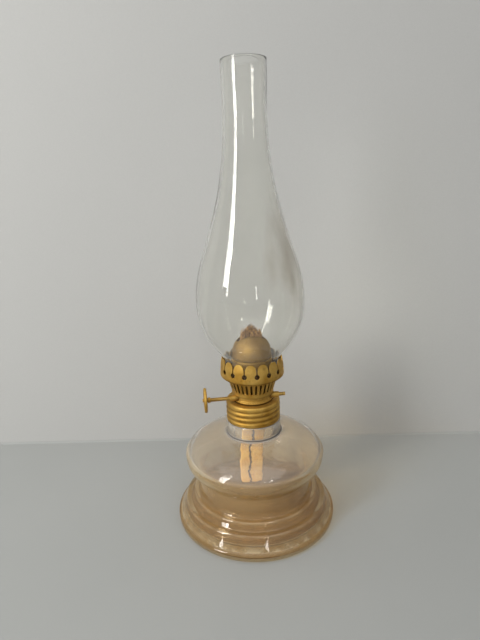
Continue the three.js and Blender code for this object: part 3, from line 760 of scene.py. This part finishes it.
CHIMNEY_FOOT_RUN = 0.5
LIP_BEAD, FOOT_BEAD = 0.6, 0.5
CHIMNEY_WOBBLE = (0.12, 0.26)
CHIMNEY_WOBBLE_START = 12


def chimney_side(inset):
    low, high = node_box("glass_chimney")
    foot_top = low[2] + CHIMNEY_FOOT_RISE
    bulb = foot_top + CHIMNEY_BULB_RISE
    flank = bulb + CHIMNEY_FLANK_RISE
    throat = high[2] - CHIMNEY_LIP_RISE
    foot = node_box("dome_carrier")[1][0] + CHIMNEY_FOOT_RUN + CHIMNEY_WALL - inset
    return course(
        (foot, low[2] + FOOT_BEAD),
        ((foot + CHIMNEY_FOOT_SPREAD, foot_top), 8),
        ((high[0] - inset, bulb), 34, (UPWARD, UPWARD), (0.14, 0.57)),
        ((CHIMNEY_FLANK_RADIUS - inset, flank), 34, (UPWARD, 108), (0.4, 0.29)),
        ((CHIMNEY_THROAT_RADIUS - inset, throat), 34, (108, UPWARD), (0.25, 0.48)),
        ((CHIMNEY_LIP_RADIUS - inset, high[2] - LIP_BEAD), 8),
    )


def make_chimney():
    seat = node_box("glass_chimney")[0][2]
    outside, inside = chimney_side(0), chimney_side(CHIMNEY_WALL)

    def bead(first, last, bulge):
        """Points of a fire-polished end, between the two sides of the wall."""
        turn = np.linspace(0, math.pi, 7)[1:-1, None]
        middle, half = (first + last) / 2, (first - last) / 2
        return middle + half * np.cos(turn) + np.array([0, bulge]) * np.sin(turn)

    lip, foot = bead(outside[-1], inside[-1], LIP_BEAD), bead(inside[0], outside[0], -FOOT_BEAD)
    section = outline(outside, lip, inside[::-1], foot)
    outer = np.arange(len(section)) < len(outside) + len(lip)

    def shift(radius, angle, height):
        wave = ripple(angle, height, ((2, 0.9, 1.3), (3, -1.6, 0.2), (1, 2.2, 3.1)))
        free = np.clip((height - seat - CHIMNEY_WOBBLE_START) / 10, 0, 1)
        return -np.where(outer, *CHIMNEY_WOBBLE) * wave * free

    made = revolve("chimney_glass", section, 192, shift)
    dress(made, chimney_glass, "chimney", "chimney_glass", "glass_chimney")


make_chimney()


# Screw cap: thin sheet with the thread rolled through it

CAP_ROLL = 0.5
NECK_BEAD = 0.8


def make_cap():
    hole = node_box("burner_neck")[1][0] - NECK_BEAD - SHEET - THIN_SHEET
    skirt = cap_radius - THREAD_DEPTH / 3
    low, high = cap_bottom + CAP_HEM, cap_top - CAP_CORNER - CAP_HEM
    section = sheet_section(course(
        (skirt, cap_bottom + SHEET / 2),
        ((skirt, cap_top - CAP_CORNER), 60),
        ((skirt - CAP_CORNER, cap_top), 8, (UPWARD, INWARD), CORNER),
        ((hole + SHEET / 2, cap_top), 6),
    ), SHEET)

    def shift(radius, angle, height):
        on_skirt = radius > skirt - SHEET - 0.01
        rise = runout(height, low, high) * CAP_ROLL * (thread_wave(angle, height) - 2 / 3)
        return np.where(on_skirt, rise + 0.12 * near(height, cap_bottom, 0.35), 0)

    # Painted shade in the thread's roots, along the bottom hem and inside round the hole.
    def dark(x, y, z):
        deep = (1 - thread_wave(np.arctan2(x, -y), z)) ** 2 * runout(z, low, high)
        shade = 0.35 * deep + 0.5 * near(z, cap_bottom, 0.5)
        return np.where(np.hypot(x, y) < hole + 1.6, 0.75, shade)

    made = revolve("threaded_cap", section, 256, shift)
    set_painted_shade(made, dark)
    dress(made, brass, "burner", "brass", "screw_cap")


make_cap()


# Burner neck: a short tube on a crimped bead, pierced for the spindle

spindle_low, spindle_high = node_box("spindle")
spindle_y = (spindle_low[1] + spindle_high[1]) / 2
spindle_z = (spindle_low[2] + spindle_high[2]) / 2
spindle_radius = (spindle_high[2] - spindle_low[2]) / 2
SPINDLE_RUN = 0.3
BUSH_RUN = 0.15
neck_low, neck_high = node_box("burner_neck")
neck_outer = neck_high[0] - NECK_BEAD
neck_inner = neck_outer - SHEET
CRIMPS, CRIMP_DEPTH = 54, 0.28


def on_spindle(made, side=1):
    """Lays a piece revolved about Z along the spindle. Its height runs towards side times +X."""
    turn = Matrix.Rotation(side * math.pi / 2, 4, "Y")
    made.data.transform(Matrix.Translation(Vector((0, spindle_y, spindle_z)) * MM) @ turn)
    return made


def make_neck():
    bead = neck_high[0]
    low, high = neck_low[2], neck_high[2]
    section = rounded_ring([
        (neck_inner, low), (bead - 0.1, low), (bead, low + 0.45), (bead - 0.15, low + 0.95),
        (neck_outer + 0.05, low + 1.3), (neck_outer, low + 1.8), (neck_outer, high),
        (neck_inner, high),
    ], 0.22, 3)

    def shift(radius, angle, height):
        crimp = np.clip(np.cos(CRIMPS * angle) * 2 - 1, 0, 1)
        return -CRIMP_DEPTH * crimp * ((radius > neck_outer + 0.1) & (height < low + 1.2))

    made = revolve("neck_tube", section, 6 * CRIMPS, shift)
    # Painted shade at the foot of the crimped bead and at the top, under the basket.
    set_painted_shade(made, lambda x, y, z: 0.8 * near(z, low, 0.35) + 0.35 * near(z, high, 0.8))
    bore = spindle_radius + SPINDLE_RUN
    bar = revolve("bore", np.array([(0, -20), (bore, -20), (bore, 20), (0, 20)]), 48)
    cut(made, on_spindle(bar))
    dress(made, brass, "burner", "brass", "burner_neck")


make_neck()


# Bushes that carry the spindle, cut to the neck's outside

BUSH_WALL = 0.5
BUSH_TIP_WALL = 0.42


def make_bush(side, name, node):
    low, high = node_box(node)
    root, tip = sorted((abs(low[0]), abs(high[0])))
    bore = spindle_radius + BUSH_RUN
    thick, slim = bore + BUSH_WALL, bore + BUSH_TIP_WALL
    middle = (root + tip) / 2
    section = rounded([
        (bore, middle), (bore, root - 1), (thick, root - 1), (thick, middle), (slim, tip - 0.7),
        (slim + 0.08, tip), (bore + 0.05, tip), (bore, middle),
    ], 0.15, 4)[:-1]
    made = on_spindle(revolve(name, section, 56), side)
    bead, neck = neck_high[0] + SEAT_GAP, neck_outer + SEAT_GAP
    collar, collar_low = neck + THIN_SHEET + SEAT_GAP, node_box("air_basket")[0][2] - SEAT_GAP
    below, above = neck_low[2] - 2, neck_high[2] + 8
    room = revolve("neck_room", np.array([
        (0, below), (bead, below), (bead, neck_low[2] + 0.9), (neck, neck_low[2] + 1.4),
        (neck, collar_low), (collar, collar_low), (collar, above), (0, above),
    ]), 128)
    cut(made, room)
    # Painted shade where the bush leaves the neck.
    set_painted_shade(made, lambda x, y, z: 0.8 * near(np.abs(x), root, 1.4))
    soften(made, 0.05)
    dress(made, brass, "burner", "brass", node)


make_bush(-1, "bush_left", "spindle_bush_left")
make_bush(1, "bush_right", "spindle_bush_right")


# Sheets with a ring of equal openings

def pierced(name, path, gaps, count, columns, thickness):
    """A sheet turned about Z, parted at count places round it. gaps gives half the width of the
    parting at each point of the path, and the sheet closes where it is 0."""
    pitch = TURN / count
    vertices, faces = [], []
    rows = len(path)
    for part in range(count):
        middle = (part + 0.5) * pitch
        for share in np.linspace(-1, 1, columns + 1):
            angle = middle + share * (pitch / 2 - gaps / path[:, 0])
            vertices.append(place(path[:, 0], angle, path[:, 1]))
        for column in range(part * (columns + 1), part * (columns + 1) + columns):
            for low in range(column * rows, (column + 1) * rows - 1):
                faces.append((low, low + rows, low + rows + 1, low + 1))
    made = new_object(name, np.concatenate(vertices), faces)
    modifier(made, "SOLIDIFY", thickness=thickness * MM, offset=-1, use_even_offset=True)
    return apply_modifiers(made)


def arc_rows(middle, radius, first, last, steps):
    """Heights of a round opening's edge, close together where it turns."""
    return middle - radius * np.cos(np.linspace(first, last, steps + 1))


def resample(path, heights):
    """Points of a run that climbs steadily, at the given heights."""
    return np.stack([np.interp(heights, path[:, 1], path[:, 0]), heights], axis=1)


def make_crown():
    low, high = node_box("gallery_crown")
    bottom, rim, radius = low[2], high[2], high[0]
    hole = bottom + CROWN_HOLE_RISE
    half_slit = CROWN_SLIT / 2
    round_low = rim - PETAL_ROUND
    round_width = math.pi * radius / PETALS - PETAL_TIP_FLAT - half_slit
    floor_hole = node_box("dome_carrier")[1][0] - CROWN_FLOOR
    floor = course(
        (floor_hole, bottom),
        ((radius - CROWN_CORNER, bottom), 5),
        ((radius, bottom + CROWN_CORNER), 7, (OUTWARD, UPWARD), CORNER),
    )
    wall = np.array([
        (radius, bottom + CROWN_CORNER), (radius - CROWN_LEAN / 3, bottom + CROWN_LEAN_RISE),
        (radius - CROWN_LEAN, rim),
    ])
    slit_top = hole + math.sqrt(CROWN_HOLE_RADIUS**2 - half_slit**2)
    heights = np.unique(np.concatenate([
        np.linspace(bottom + CROWN_CORNER, hole - CROWN_HOLE_RADIUS, 4),
        arc_rows(hole, CROWN_HOLE_RADIUS, 0, math.pi, 14)[:-2],
        np.linspace(slit_top, round_low, 4),
        round_low + PETAL_ROUND * np.sin(np.linspace(0, math.pi / 2, 12)),
    ]).round(6))
    path = outline(floor, resample(wall, heights))
    height = path[:, 1]
    petal = np.clip((height - round_low) / PETAL_ROUND, 0, 1)
    slit = half_slit + round_width * (1 - np.sqrt(1 - petal**2))
    keyhole = np.sqrt(np.maximum(CROWN_HOLE_RADIUS**2 - (height - hole) ** 2, 0))
    gaps = np.where(height < slit_top, keyhole, slit) * (height > hole - CROWN_HOLE_RADIUS + 1e-6)
    made = pierced("petal_crown", path, gaps, PETALS, 12, SHEET)
    soften(made, 0.12, 3, 50)

    # Painted shade on the crown's floor and on the inside of its wall.
    def dark(x, y, z):
        inside = np.hypot(x, y) < np.interp(z, wall[:, 1], wall[:, 0]) - SHEET * 0.6
        return 0.45 * near(z, bottom, 0.9) + 0.9 * inside

    set_painted_shade(made, dark)
    dress(made, brass, "burner", "brass", "gallery_crown")


make_crown()


def make_basket():
    low, high = node_box("air_basket")
    bottom, top = low[2], high[2]
    collar = neck_outer + SEAT_GAP + THIN_SHEET
    wide = collar + BASKET_FLARE
    collar_top = bottom + BASKET_COLLAR
    wall_top = top - 2 * THIN_SHEET
    wall = course(
        (collar, bottom),
        ((collar, collar_top - 0.5), 4),
        ((collar + 0.25, collar_top + 0.6), 4, (UPWARD, 72), CORNER),
        ((wide, wall_top), 20),
    )
    half = SLOT_WIDTH / 2
    slot_low = collar_top + SLOT_MARGIN
    slot_high = wall_top - SLOT_MARGIN
    heights = np.unique(np.concatenate([
        np.linspace(bottom, slot_low, 8),
        slot_low + half - half * np.cos(np.linspace(0, math.pi / 2, 5)),
        np.linspace(slot_low + half, slot_high - half, 5),
        slot_high - half + half * np.sin(np.linspace(0, math.pi / 2, 5)),
        [wall_top],
    ]).round(6))
    rise = resample(wall, heights)
    edge = (wide - THIN_SHEET + BASKET_FLANGE, top - 0.15)
    path = outline(rise, sweep(rise[-1], edge, (60, 5), CORNER, 5))
    inside = np.minimum(path[:, 1] - slot_low, slot_high - path[:, 1])
    gaps = np.sqrt(half**2 - (half - np.clip(inside, 0, half)) ** 2) * (inside > 1e-6)
    made = pierced("slotted_basket", path, gaps, SLOTS, 6, THIN_SHEET)
    soften(made, 0.07, 2, 50)
    # Painted shade along the top edge and the foot, where other parts meet it.
    set_painted_shade(made, lambda x, y, z: 0.5 * near(z, top, 1) + 0.5 * near(z, bottom, 0.5))
    dress(made, brass, "burner", "brass", "air_basket")


make_basket()


# Dome carrier and flame dome

def slot_ring(half_width, half_side, steps=10):
    """Points round a flat slot with round ends, from its right-hand end."""
    turn = np.linspace(0, math.pi, steps + 1) - math.pi / 2
    reach = half_width - half_side
    right = np.stack([reach + half_side * np.cos(turn), half_side * np.sin(turn)], axis=1)
    return np.concatenate([right, -right])


def make_carrier():
    low, high = node_box("dome_carrier")
    bottom, top, flange = low[2], high[2], high[0]
    upper = flange - CARRIER_FLANGE
    foot = (upper - CARRIER_TAPER + THIN_SHEET, bottom + THIN_SHEET)
    path = rounded([(flange - 0.1, foot[1]), foot, (upper, top - 0.25)], 0.5, 5)
    path = outline(path[:-1], line(path[-2], path[-1], 12))
    made = revolve("dome_ring", sheet_section(path, THIN_SHEET), 192)
    # Painted shade on the lower wall, down inside the crown.
    set_painted_shade(made, lambda x, y, z: 0.9 - 0.9 * np.clip((z - bottom - 3.4) / 3, 0, 1))
    dress(made, brass, "burner", "brass", "dome_carrier")


make_carrier()

wick_low, wick_high = node_box("wick")
tube_low, tube_high = node_box("wick_tube")


def make_dome():
    low, high = node_box("flame_dome")
    bottom, skirt = low[2], high[0] - 0.25
    top = bottom + DOME_HEIGHT
    shoulder = high[0] - DOME_SHOULDER_INSET
    hem = bottom + DOME_SKIRT_HEM
    shoulder_low = hem + DOME_SKIRT_RISE
    straight = (shoulder, shoulder_low + DOME_STRAIGHT)
    foot = [(skirt, bottom + 0.2), (skirt, hem), (shoulder, shoulder_low + DOME_SKIRT_RISE / 2)]
    path = outline(
        rounded([*foot, straight], 0.3, 4),
        sweep(straight, (0, top), (UPWARD, INWARD), (0.46, 0.4), 34),
    )
    inner = path + normals_of(path) * THIN_SHEET
    inner[-1, 0] = 0
    made = revolve("bell_dome", outline(path[::-1], inner), 192)
    half_width = tube_high[0] + DOME_SLOT_ROOM
    half_side = wick_high[1] + DOME_SLOT_ROOM
    corners = slot_ring(half_width, half_side, 12)
    slot_low = top - DOME_SLOT_DEPTH
    vertices = [(x, y, z) for z in (slot_low, top + 3) for x, y in corners]
    cut(made, new_object("slot_cutter", vertices, shut_tube(2, len(corners))))
    soften(made, 0.1, 3, 50)

    # Painted shade at the hem and along the sides of the slot.
    def dark(x, y, z):
        slot = near(np.abs(y), half_side, 0.5) * (z > slot_low)
        return 0.55 * near(z, bottom + 0.4, 0.9) + 0.4 * slot

    set_painted_shade(made, dark)
    dress(made, dome_brass, "burner", "dome_brass", "flame_dome")


make_dome()


# Wick tube: flat, with rounded ends, a rolled edge and a window for each feed wheel

WINDOW_BACK, WINDOW_FRONT = -0.5, -4


def make_tube():
    low, high = tube_low[2], tube_high[2]
    profile = rounded_ring([(THIN_SHEET, low), (0, low), (0, high), (THIN_SHEET, high)], 0.12, 3)
    rings = [np.insert(slot_ring(tube_high[0] - inset, tube_high[1] - inset), 2, height, axis=1)
             for inset, height in profile]
    faces = grid_faces(len(rings), len(rings[0]), True, True)
    made = new_object("wick_sleeve", np.concatenate(rings), faces)
    wheel_low, wheel_high = node_box("feed_wheel_left")
    cutters = []
    for side in (-1, 1):
        middle = side * abs(wheel_low[0] + wheel_high[0]) / 2
        half = (wheel_high[0] - wheel_low[0]) / 2 + SPINDLE_RUN
        rise = (wheel_high[2] - wheel_low[2]) / 4 + 2 * SPINDLE_RUN
        vertices = [(middle + x * half, y, spindle_z + z * rise)
                    for x in (-1, 1) for y in (WINDOW_FRONT, WINDOW_BACK) for z in (-1, 1)]
        faces = [(0, 1, 3, 2), (4, 6, 7, 5), (0, 4, 5, 1), (2, 3, 7, 6), (0, 2, 6, 4), (1, 5, 7, 3)]
        cutters.append(new_object("window", vertices, faces))
    cut(made, *cutters)
    soften(made, 0.05, 2, 50)
    dress(made, dark_brass, "burner", "dark_brass", "wick_tube")


make_tube()


# Wick: a tape folded into two plies that meet in a wavy line, with a frayed tuft

rng = random.Random(17)
TUFT_RISE = 9.6
TUFT_ROOT = 1.2
TUFT_SIDE_ROOM = 0.35
CLUMPS, CLUMP_THREADS = 64, 6
WICK_DRIFT = 2
PARTING_DROP = 4.2


def make_wick():
    bottom, top = wick_low[2], wick_high[2]
    half_width, half_side = wick_high[0], wick_high[1]
    tape_top = top - TUFT_RISE
    widest = (band_top + tube_low[2]) / 2 - PARTING_DROP

    def hang(height):
        """How free of the tube the tape is, and how far it has wandered sideways."""
        free = np.clip((tube_low[2] - height) / 3, 0, 1)
        slack = np.clip((tube_low[2] - 1 - height) / 32, 0, 1)
        return free, slack, -WICK_DRIFT * slack * slack * (3 - 2 * slack)

    def groove(x, height):
        """The line where the two plies meet, from 0 to 1."""
        free, slack, drift = hang(height)
        wander = free * (0.42 * np.sin(height * 0.41) + 0.2 * np.sin(height * 1.3 + 1)
                         - 1.1 * slack + 0.12 * np.sin(height * 3.7))
        parting = 0.62 + 0.16 * np.sin(height * 2.1) + 0.85 * free * np.exp(
            -(((height - widest) / 3.4) ** 4))
        return free * np.exp(-((np.abs(x - drift - wander) / parting) ** 4))

    heights = np.concatenate([
        np.linspace(bottom, tube_low[2], 170), np.linspace(tube_low[2], tape_top, 60)[1:]])
    free, _, drift = hang(heights)
    width = half_width * (0.985 - 0.018 * free * (1 + np.sin(heights * 0.55)))
    share = np.linspace(-1, 1, 73)
    height = heights[:, None] + 0 * share
    x = width[:, None] * share
    rib = 0.05 * np.cos(TURN * x / 0.95) + 0.03 * np.cos(TURN * height / 0.8 + x)
    depth = half_side * (1 - np.abs(share) ** 7) ** (1 / 3) * (0.93 + 0.6 * rib)
    x = x + drift[:, None]
    seam = groove(x, height)
    front = np.stack([x, -depth * (1 - 0.9 * seam), height], axis=-1)
    back = np.stack([x, depth * (1 - 0.25 * seam), height], axis=-1)[:, ::-1][:, 1:-1]
    points = np.concatenate([front, back], axis=1)
    made = new_object("wick_tape", points.reshape(-1, 3), shut_tube(*points.shape[:2]))
    # Painted shade in the seam where the two plies meet, on the front.
    set_painted_shade(made, lambda x, y, z: groove(x, z) * (y < 0.2 * half_side))
    dress(made, cotton, "wick_tape", "cotton", "wick")
    return tape_top


def strand_mesh(name, strands, sides=4):
    """Thin tapered tubes along runs of points. strands holds (points, radius)."""
    vertices, faces = [], []
    turn = np.linspace(0, TURN, sides, endpoint=False)[:, None]
    for points, radius in strands:
        along = np.gradient(points, axis=0)
        along /= np.linalg.norm(along, axis=1)[:, None]
        side = np.cross(along, (0.3, 0.9, 0.1))
        side /= np.linalg.norm(side, axis=1)[:, None]
        rows, first = len(points), len(vertices)
        sizes = radius * (1 - 0.65 * np.arange(rows) / (rows - 1))
        for here, size, a, b in zip(points, sizes, side, np.cross(along, side)):
            vertices.extend(here + size * (a * np.cos(turn) + b * np.sin(turn)))
        faces += [[first + corner for corner in face] for face in shut_tube(rows, sides)]
    return new_object(name, vertices, faces)


def make_tuft(tape_top):
    """Burnt threads in uneven clumps, longest in the middle."""
    low_x, reach = wick_high[0] - 0.6, wick_high[1] - TUFT_SIDE_ROOM
    room = wick_high[2] - 0.3 - tape_top
    flat = wick_high[0] - wick_high[1]
    strands, shades = [], []
    for _ in range(CLUMPS):
        share, depth = rng.uniform(-1, 1), rng.uniform(-1, 1)
        tallest = (1 - 0.38 * abs(share) ** 3) * rng.uniform(0.76, 1)
        lean, shade = rng.uniform(-1.1, 1.1), rng.choice((0, 0.05, 0.2, 0.5))
        for _ in range(CLUMP_THREADS):
            climb = tallest * (0.64 + 0.36 * rng.random() ** 2)
            foot_x = np.clip(share * low_x + rng.uniform(-0.6, 0.6), -low_x, low_x)
            start = np.array([foot_x, depth * reach, tape_top - TUFT_ROOT])
            end = np.array([
                foot_x * (1 - 0.56 * climb**1.6) + (lean + rng.uniform(-1.5, 1.5)) * climb,
                depth * reach + rng.uniform(-0.3, 0.3), tape_top + room * climb,
            ])
            bend = np.array([rng.uniform(-0.8, 0.8), rng.uniform(-0.25, 0.25), 0])
            curl = rng.uniform(0, TURN)
            points = []
            for t in np.linspace(0, 1, 9):
                wave = np.array([math.sin(curl + 6 * t), 0.4 * math.cos(curl + 5 * t), 0]) * 0.5 * t
                points.append(start * (1 - t) + end * t + bend * 4 * t * (1 - t) + wave)
            points = np.array(points)
            # Held inside the tube's bore
            core = np.clip(points[:, 0], -flat, flat)
            beyond = points[:, 0] - core
            hold = np.minimum(1, reach / np.maximum(np.hypot(beyond, points[:, 1]), reach))
            points[:, 0] = core + beyond * hold
            points[:, 1] *= hold
            strands.append((points, rng.uniform(0.12, 0.25)))
            shades.append(shade + rng.uniform(0, 0.4))
    made = strand_mesh("wick_tuft", strands)
    # Painted shade among the threads: each clump and thread is darkened by a random share, which
    # also gives the uneven char of the burnt cotton.
    store(made, "painted_shade", np.repeat(shades, len(made.data.vertices) // len(strands)))
    dress(made, cotton, "wick_tape", "cotton", "wick")


make_tuft(make_wick())


# Spindle, knob and ferrule, turned about the spindle's axis

FERRULE_WALL = 0.45
GROOVE_INSET, GROOVE_DEPTH = 1.6, 0.1
BUSH_SHADOW = 13
KNOB_RUN, KNOB_HUB = 0.2, 1.8


def turned(name, section, sides, material, slot_name, replaced):
    made = on_spindle(revolve(name, section, sides))
    return dress(made, material, "spindle_set", slot_name, replaced)


def make_spindle():
    start, end = spindle_low[0], spindle_high[0]
    r = spindle_radius
    groove, root = end - GROOVE_INSET, r - GROOVE_DEPTH
    section = rounded([
        (0, start), (r, start), (r, groove - 0.25), (root, groove - 0.1),
        (root, groove + 0.1), (r, groove + 0.25), (r, end), (0, end),
    ], 0.3, 4)
    made = turned("spindle_rod", section, 64, dark_brass, "dark_brass", "spindle")
    # Painted shade in the groove and where the spindle runs inside the bushes.
    set_painted_shade(made, lambda x, y, z: 0.4 * near(x, groove, 0.3)
               + 0.5 * near(np.abs(x), BUSH_SHADOW, 0.7))


def make_knob():
    low, high = node_box("thumb_knob")
    ferrule_low, ferrule_high = node_box("knob_ferrule")
    middle = (low[0] + high[0]) / 2
    radius = high[2] - spindle_z
    bore = spindle_radius + KNOB_RUN
    side = [(bore, high[0] - middle), (KNOB_HUB, high[0] - middle), (KNOB_HUB + 0.7, 0.5),
            (radius - 1, 0.42), (radius - 0.5, 0.85), (radius, 0.5)]
    section = [(r, middle - away) for r, away in side]
    section += [(r, middle + away) for r, away in side[::-1]]
    made = turned("knob_disc", rounded_ring(section, 0.35, 4), 128, brass, "brass", "thumb_knob")
    # Painted shade in a ring round the hub.
    set_painted_shade(made, lambda x, y, z: 0.5 * near(np.hypot(y - spindle_y, z - spindle_z), 2.7, 0.5))
    ferrule_radius = spindle_radius + FERRULE_WALL
    section = rounded_ring([
        (bore, ferrule_low[0]), (ferrule_radius, ferrule_low[0]),
        (ferrule_radius, ferrule_low[0] + 0.75), (bore + 0.25, ferrule_high[0]),
        (bore, ferrule_high[0]),
    ], 0.2, 4)
    turned("ferrule", section, 64, brass, "brass", "knob_ferrule")


make_spindle()
make_knob()


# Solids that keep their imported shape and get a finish

for name, material in (
    ("neck_washer", rubber), ("tube_plate", dark_brass), ("air_diffuser", dark_brass),
    ("feed_wheel_left", dark_brass), ("feed_wheel_right", dark_brass),
):
    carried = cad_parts[name]
    for place_in_list in range(len(carried.material_slots)):
        carried.material_slots[place_in_list].material = material


# Stage: a pale table and the pale wall close behind the lamp

AZIMUTH = -8.5
WALL_BACK = 83
COVE = 1.5
STAGE_SIZE = 1800


def stage_material():
    """Plain woven cloth, seen from its front only, with a paler wall."""
    made = Finish("pale_cloth")
    spread, noise, mix, times = made.spread, made.noise, made.mix, made.times
    shade = mix(spread(made.axis("Z"), 0.0005, 0.002), srgb(164, 166, 164), srgb(191, 191, 189))
    shade = mix(times(spread(noise(0.9), 0.3, 0.7), 0.1), shade, srgb(150, 152, 152))
    shade = mix(times(spread(noise(120), 0.3, 0.7), 0.15), shade, srgb(184, 184, 182))
    made.set({"Base Color": shade, "Roughness": 0.85})
    made.bump(noise(0.9, 2), 0.05, 0.3)
    made.show(made.node("NewGeometry").outputs["Backfacing"], made.node("BsdfTransparent"))
    return made.material


def make_stage():
    turn = Matrix.Rotation(math.radians(AZIMUTH), 4, "Z")
    half = STAGE_SIZE / 2
    bend = [(WALL_BACK - COVE + COVE * math.sin(t), COVE - COVE * math.cos(t))
            for t in np.linspace(0, math.pi / 2, 9)]
    profile = [(-half, 0)] + bend + [(WALL_BACK, STAGE_SIZE)]
    vertices = [(x, y, z) for x in (-half, half) for y, z in profile]
    rows = len(profile)
    faces = [(row, rows + row, rows + row + 1, row + 1) for row in range(rows - 1)]
    mesh = bpy.data.meshes.new("backdrop")
    mesh.from_pydata([tuple(turn @ Vector(v) * MM) for v in vertices], [], faces)
    for face in mesh.polygons:
        face.use_smooth = True
    made = bpy.data.objects.new("backdrop", mesh)
    scene.collection.objects.link(made)
    mesh.materials.append(stage_material())


make_stage()


# Camera at the photograph's place

FOCAL_PIXELS = 496
IMAGE_HEIGHT = 640
SENSOR = 36
CAMERA_BACK, CAMERA_UP = 261, 198
PITCH, ROLL, YAW = 16.5, -2.02, 1.28


def make_camera():
    data = bpy.data.cameras.new("camera")
    data.sensor_width = SENSOR
    data.lens = FOCAL_PIXELS * SENSOR / IMAGE_HEIGHT
    camera = bpy.data.objects.new("camera", data)
    scene.collection.objects.link(camera)
    yaw, pitch, roll = (math.radians(a) for a in (YAW, PITCH, ROLL))
    level = math.cos(pitch)
    forward = Vector((-math.sin(yaw) * level, math.cos(yaw) * level, -math.sin(pitch)))
    right = Vector((math.cos(yaw), math.sin(yaw), 0))
    up = right.cross(forward)
    right, up = (right * math.cos(roll) + up * math.sin(roll),
                 up * math.cos(roll) - right * math.sin(roll))
    axes = Matrix((right, up, -forward)).transposed().to_4x4()
    axes.translation = Vector((0, -CAMERA_BACK, CAMERA_UP)) * MM
    camera.matrix_world = Matrix.Rotation(math.radians(AZIMUTH), 4, "Z") @ axes
    data.clip_start, data.clip_end = 0.01, 20
    scene.camera = camera


make_camera()


# Lights: a tall window at the left, a soft ceiling and a pale room

ROOM_LIGHT, ROOM_SEEN = 0.27, 0.46
LIGHTS_FACE = 120


def area_light(name, azimuth, elevation, distance, width, height, power, colour=(1, 1, 1)):
    """A soft lamp that faces the lamp's middle. Azimuth 0 is in front of it, and 90 is at -X."""
    data = bpy.data.lights.new(name, "AREA")
    data.shape = "RECTANGLE"
    data.size, data.size_y = width * MM, height * MM
    data.energy, data.color = power, colour
    made = bpy.data.objects.new(name, data)
    scene.collection.objects.link(made)
    a, e = math.radians(azimuth), math.radians(elevation)
    back = Vector((-math.sin(a) * math.cos(e), -math.cos(a) * math.cos(e), math.sin(e)))
    made.location = (Vector((0, 0, LIGHTS_FACE)) + back * distance) * MM
    made.rotation_euler = (-back).to_track_quat("-Z", "Y").to_euler()


def make_lights():
    area_light("window_left", 56, 26, 900, 50, 820, 1.9, (1, 0.985, 0.95))
    area_light("window_low", 61, 23, 900, 180, 440, 3.5, (1, 0.985, 0.95))
    area_light("strip_right", -5, 6, 900, 20, 200, 0.2, (1, 0.99, 0.97))
    area_light("lamp_right", -18, 36, 900, 60, 60, 0.18, (1, 0.99, 0.97))
    area_light("ceiling", 20, 66, 1200, 1900, 1300, 6.6, (1, 0.99, 0.97))
    world = bpy.data.worlds.new("room")
    world.use_nodes = True
    tree = world.node_tree
    path = tree.nodes.new("ShaderNodeLightPath")
    seen = path.outputs["Is Camera Ray"]
    for kind in ("Is Glossy Ray", "Is Transmission Ray"):
        either = tree.nodes.new("ShaderNodeMath")
        either.operation = "MAXIMUM"
        tree.links.new(seen, either.inputs[0])
        tree.links.new(path.outputs[kind], either.inputs[1])
        seen = either.outputs[0]
    strength = tree.nodes.new("ShaderNodeMapRange")
    tree.links.new(seen, strength.inputs["Value"])
    strength.inputs["To Min"].default_value = ROOM_LIGHT
    strength.inputs["To Max"].default_value = ROOM_SEEN
    background = tree.nodes["Background"]
    background.inputs["Color"].default_value = (0.98, 0.99, 1.0, 1)
    tree.links.new(strength.outputs[0], background.inputs["Strength"])
    scene.world = world


make_lights()

scene.view_settings.view_transform = "Standard"
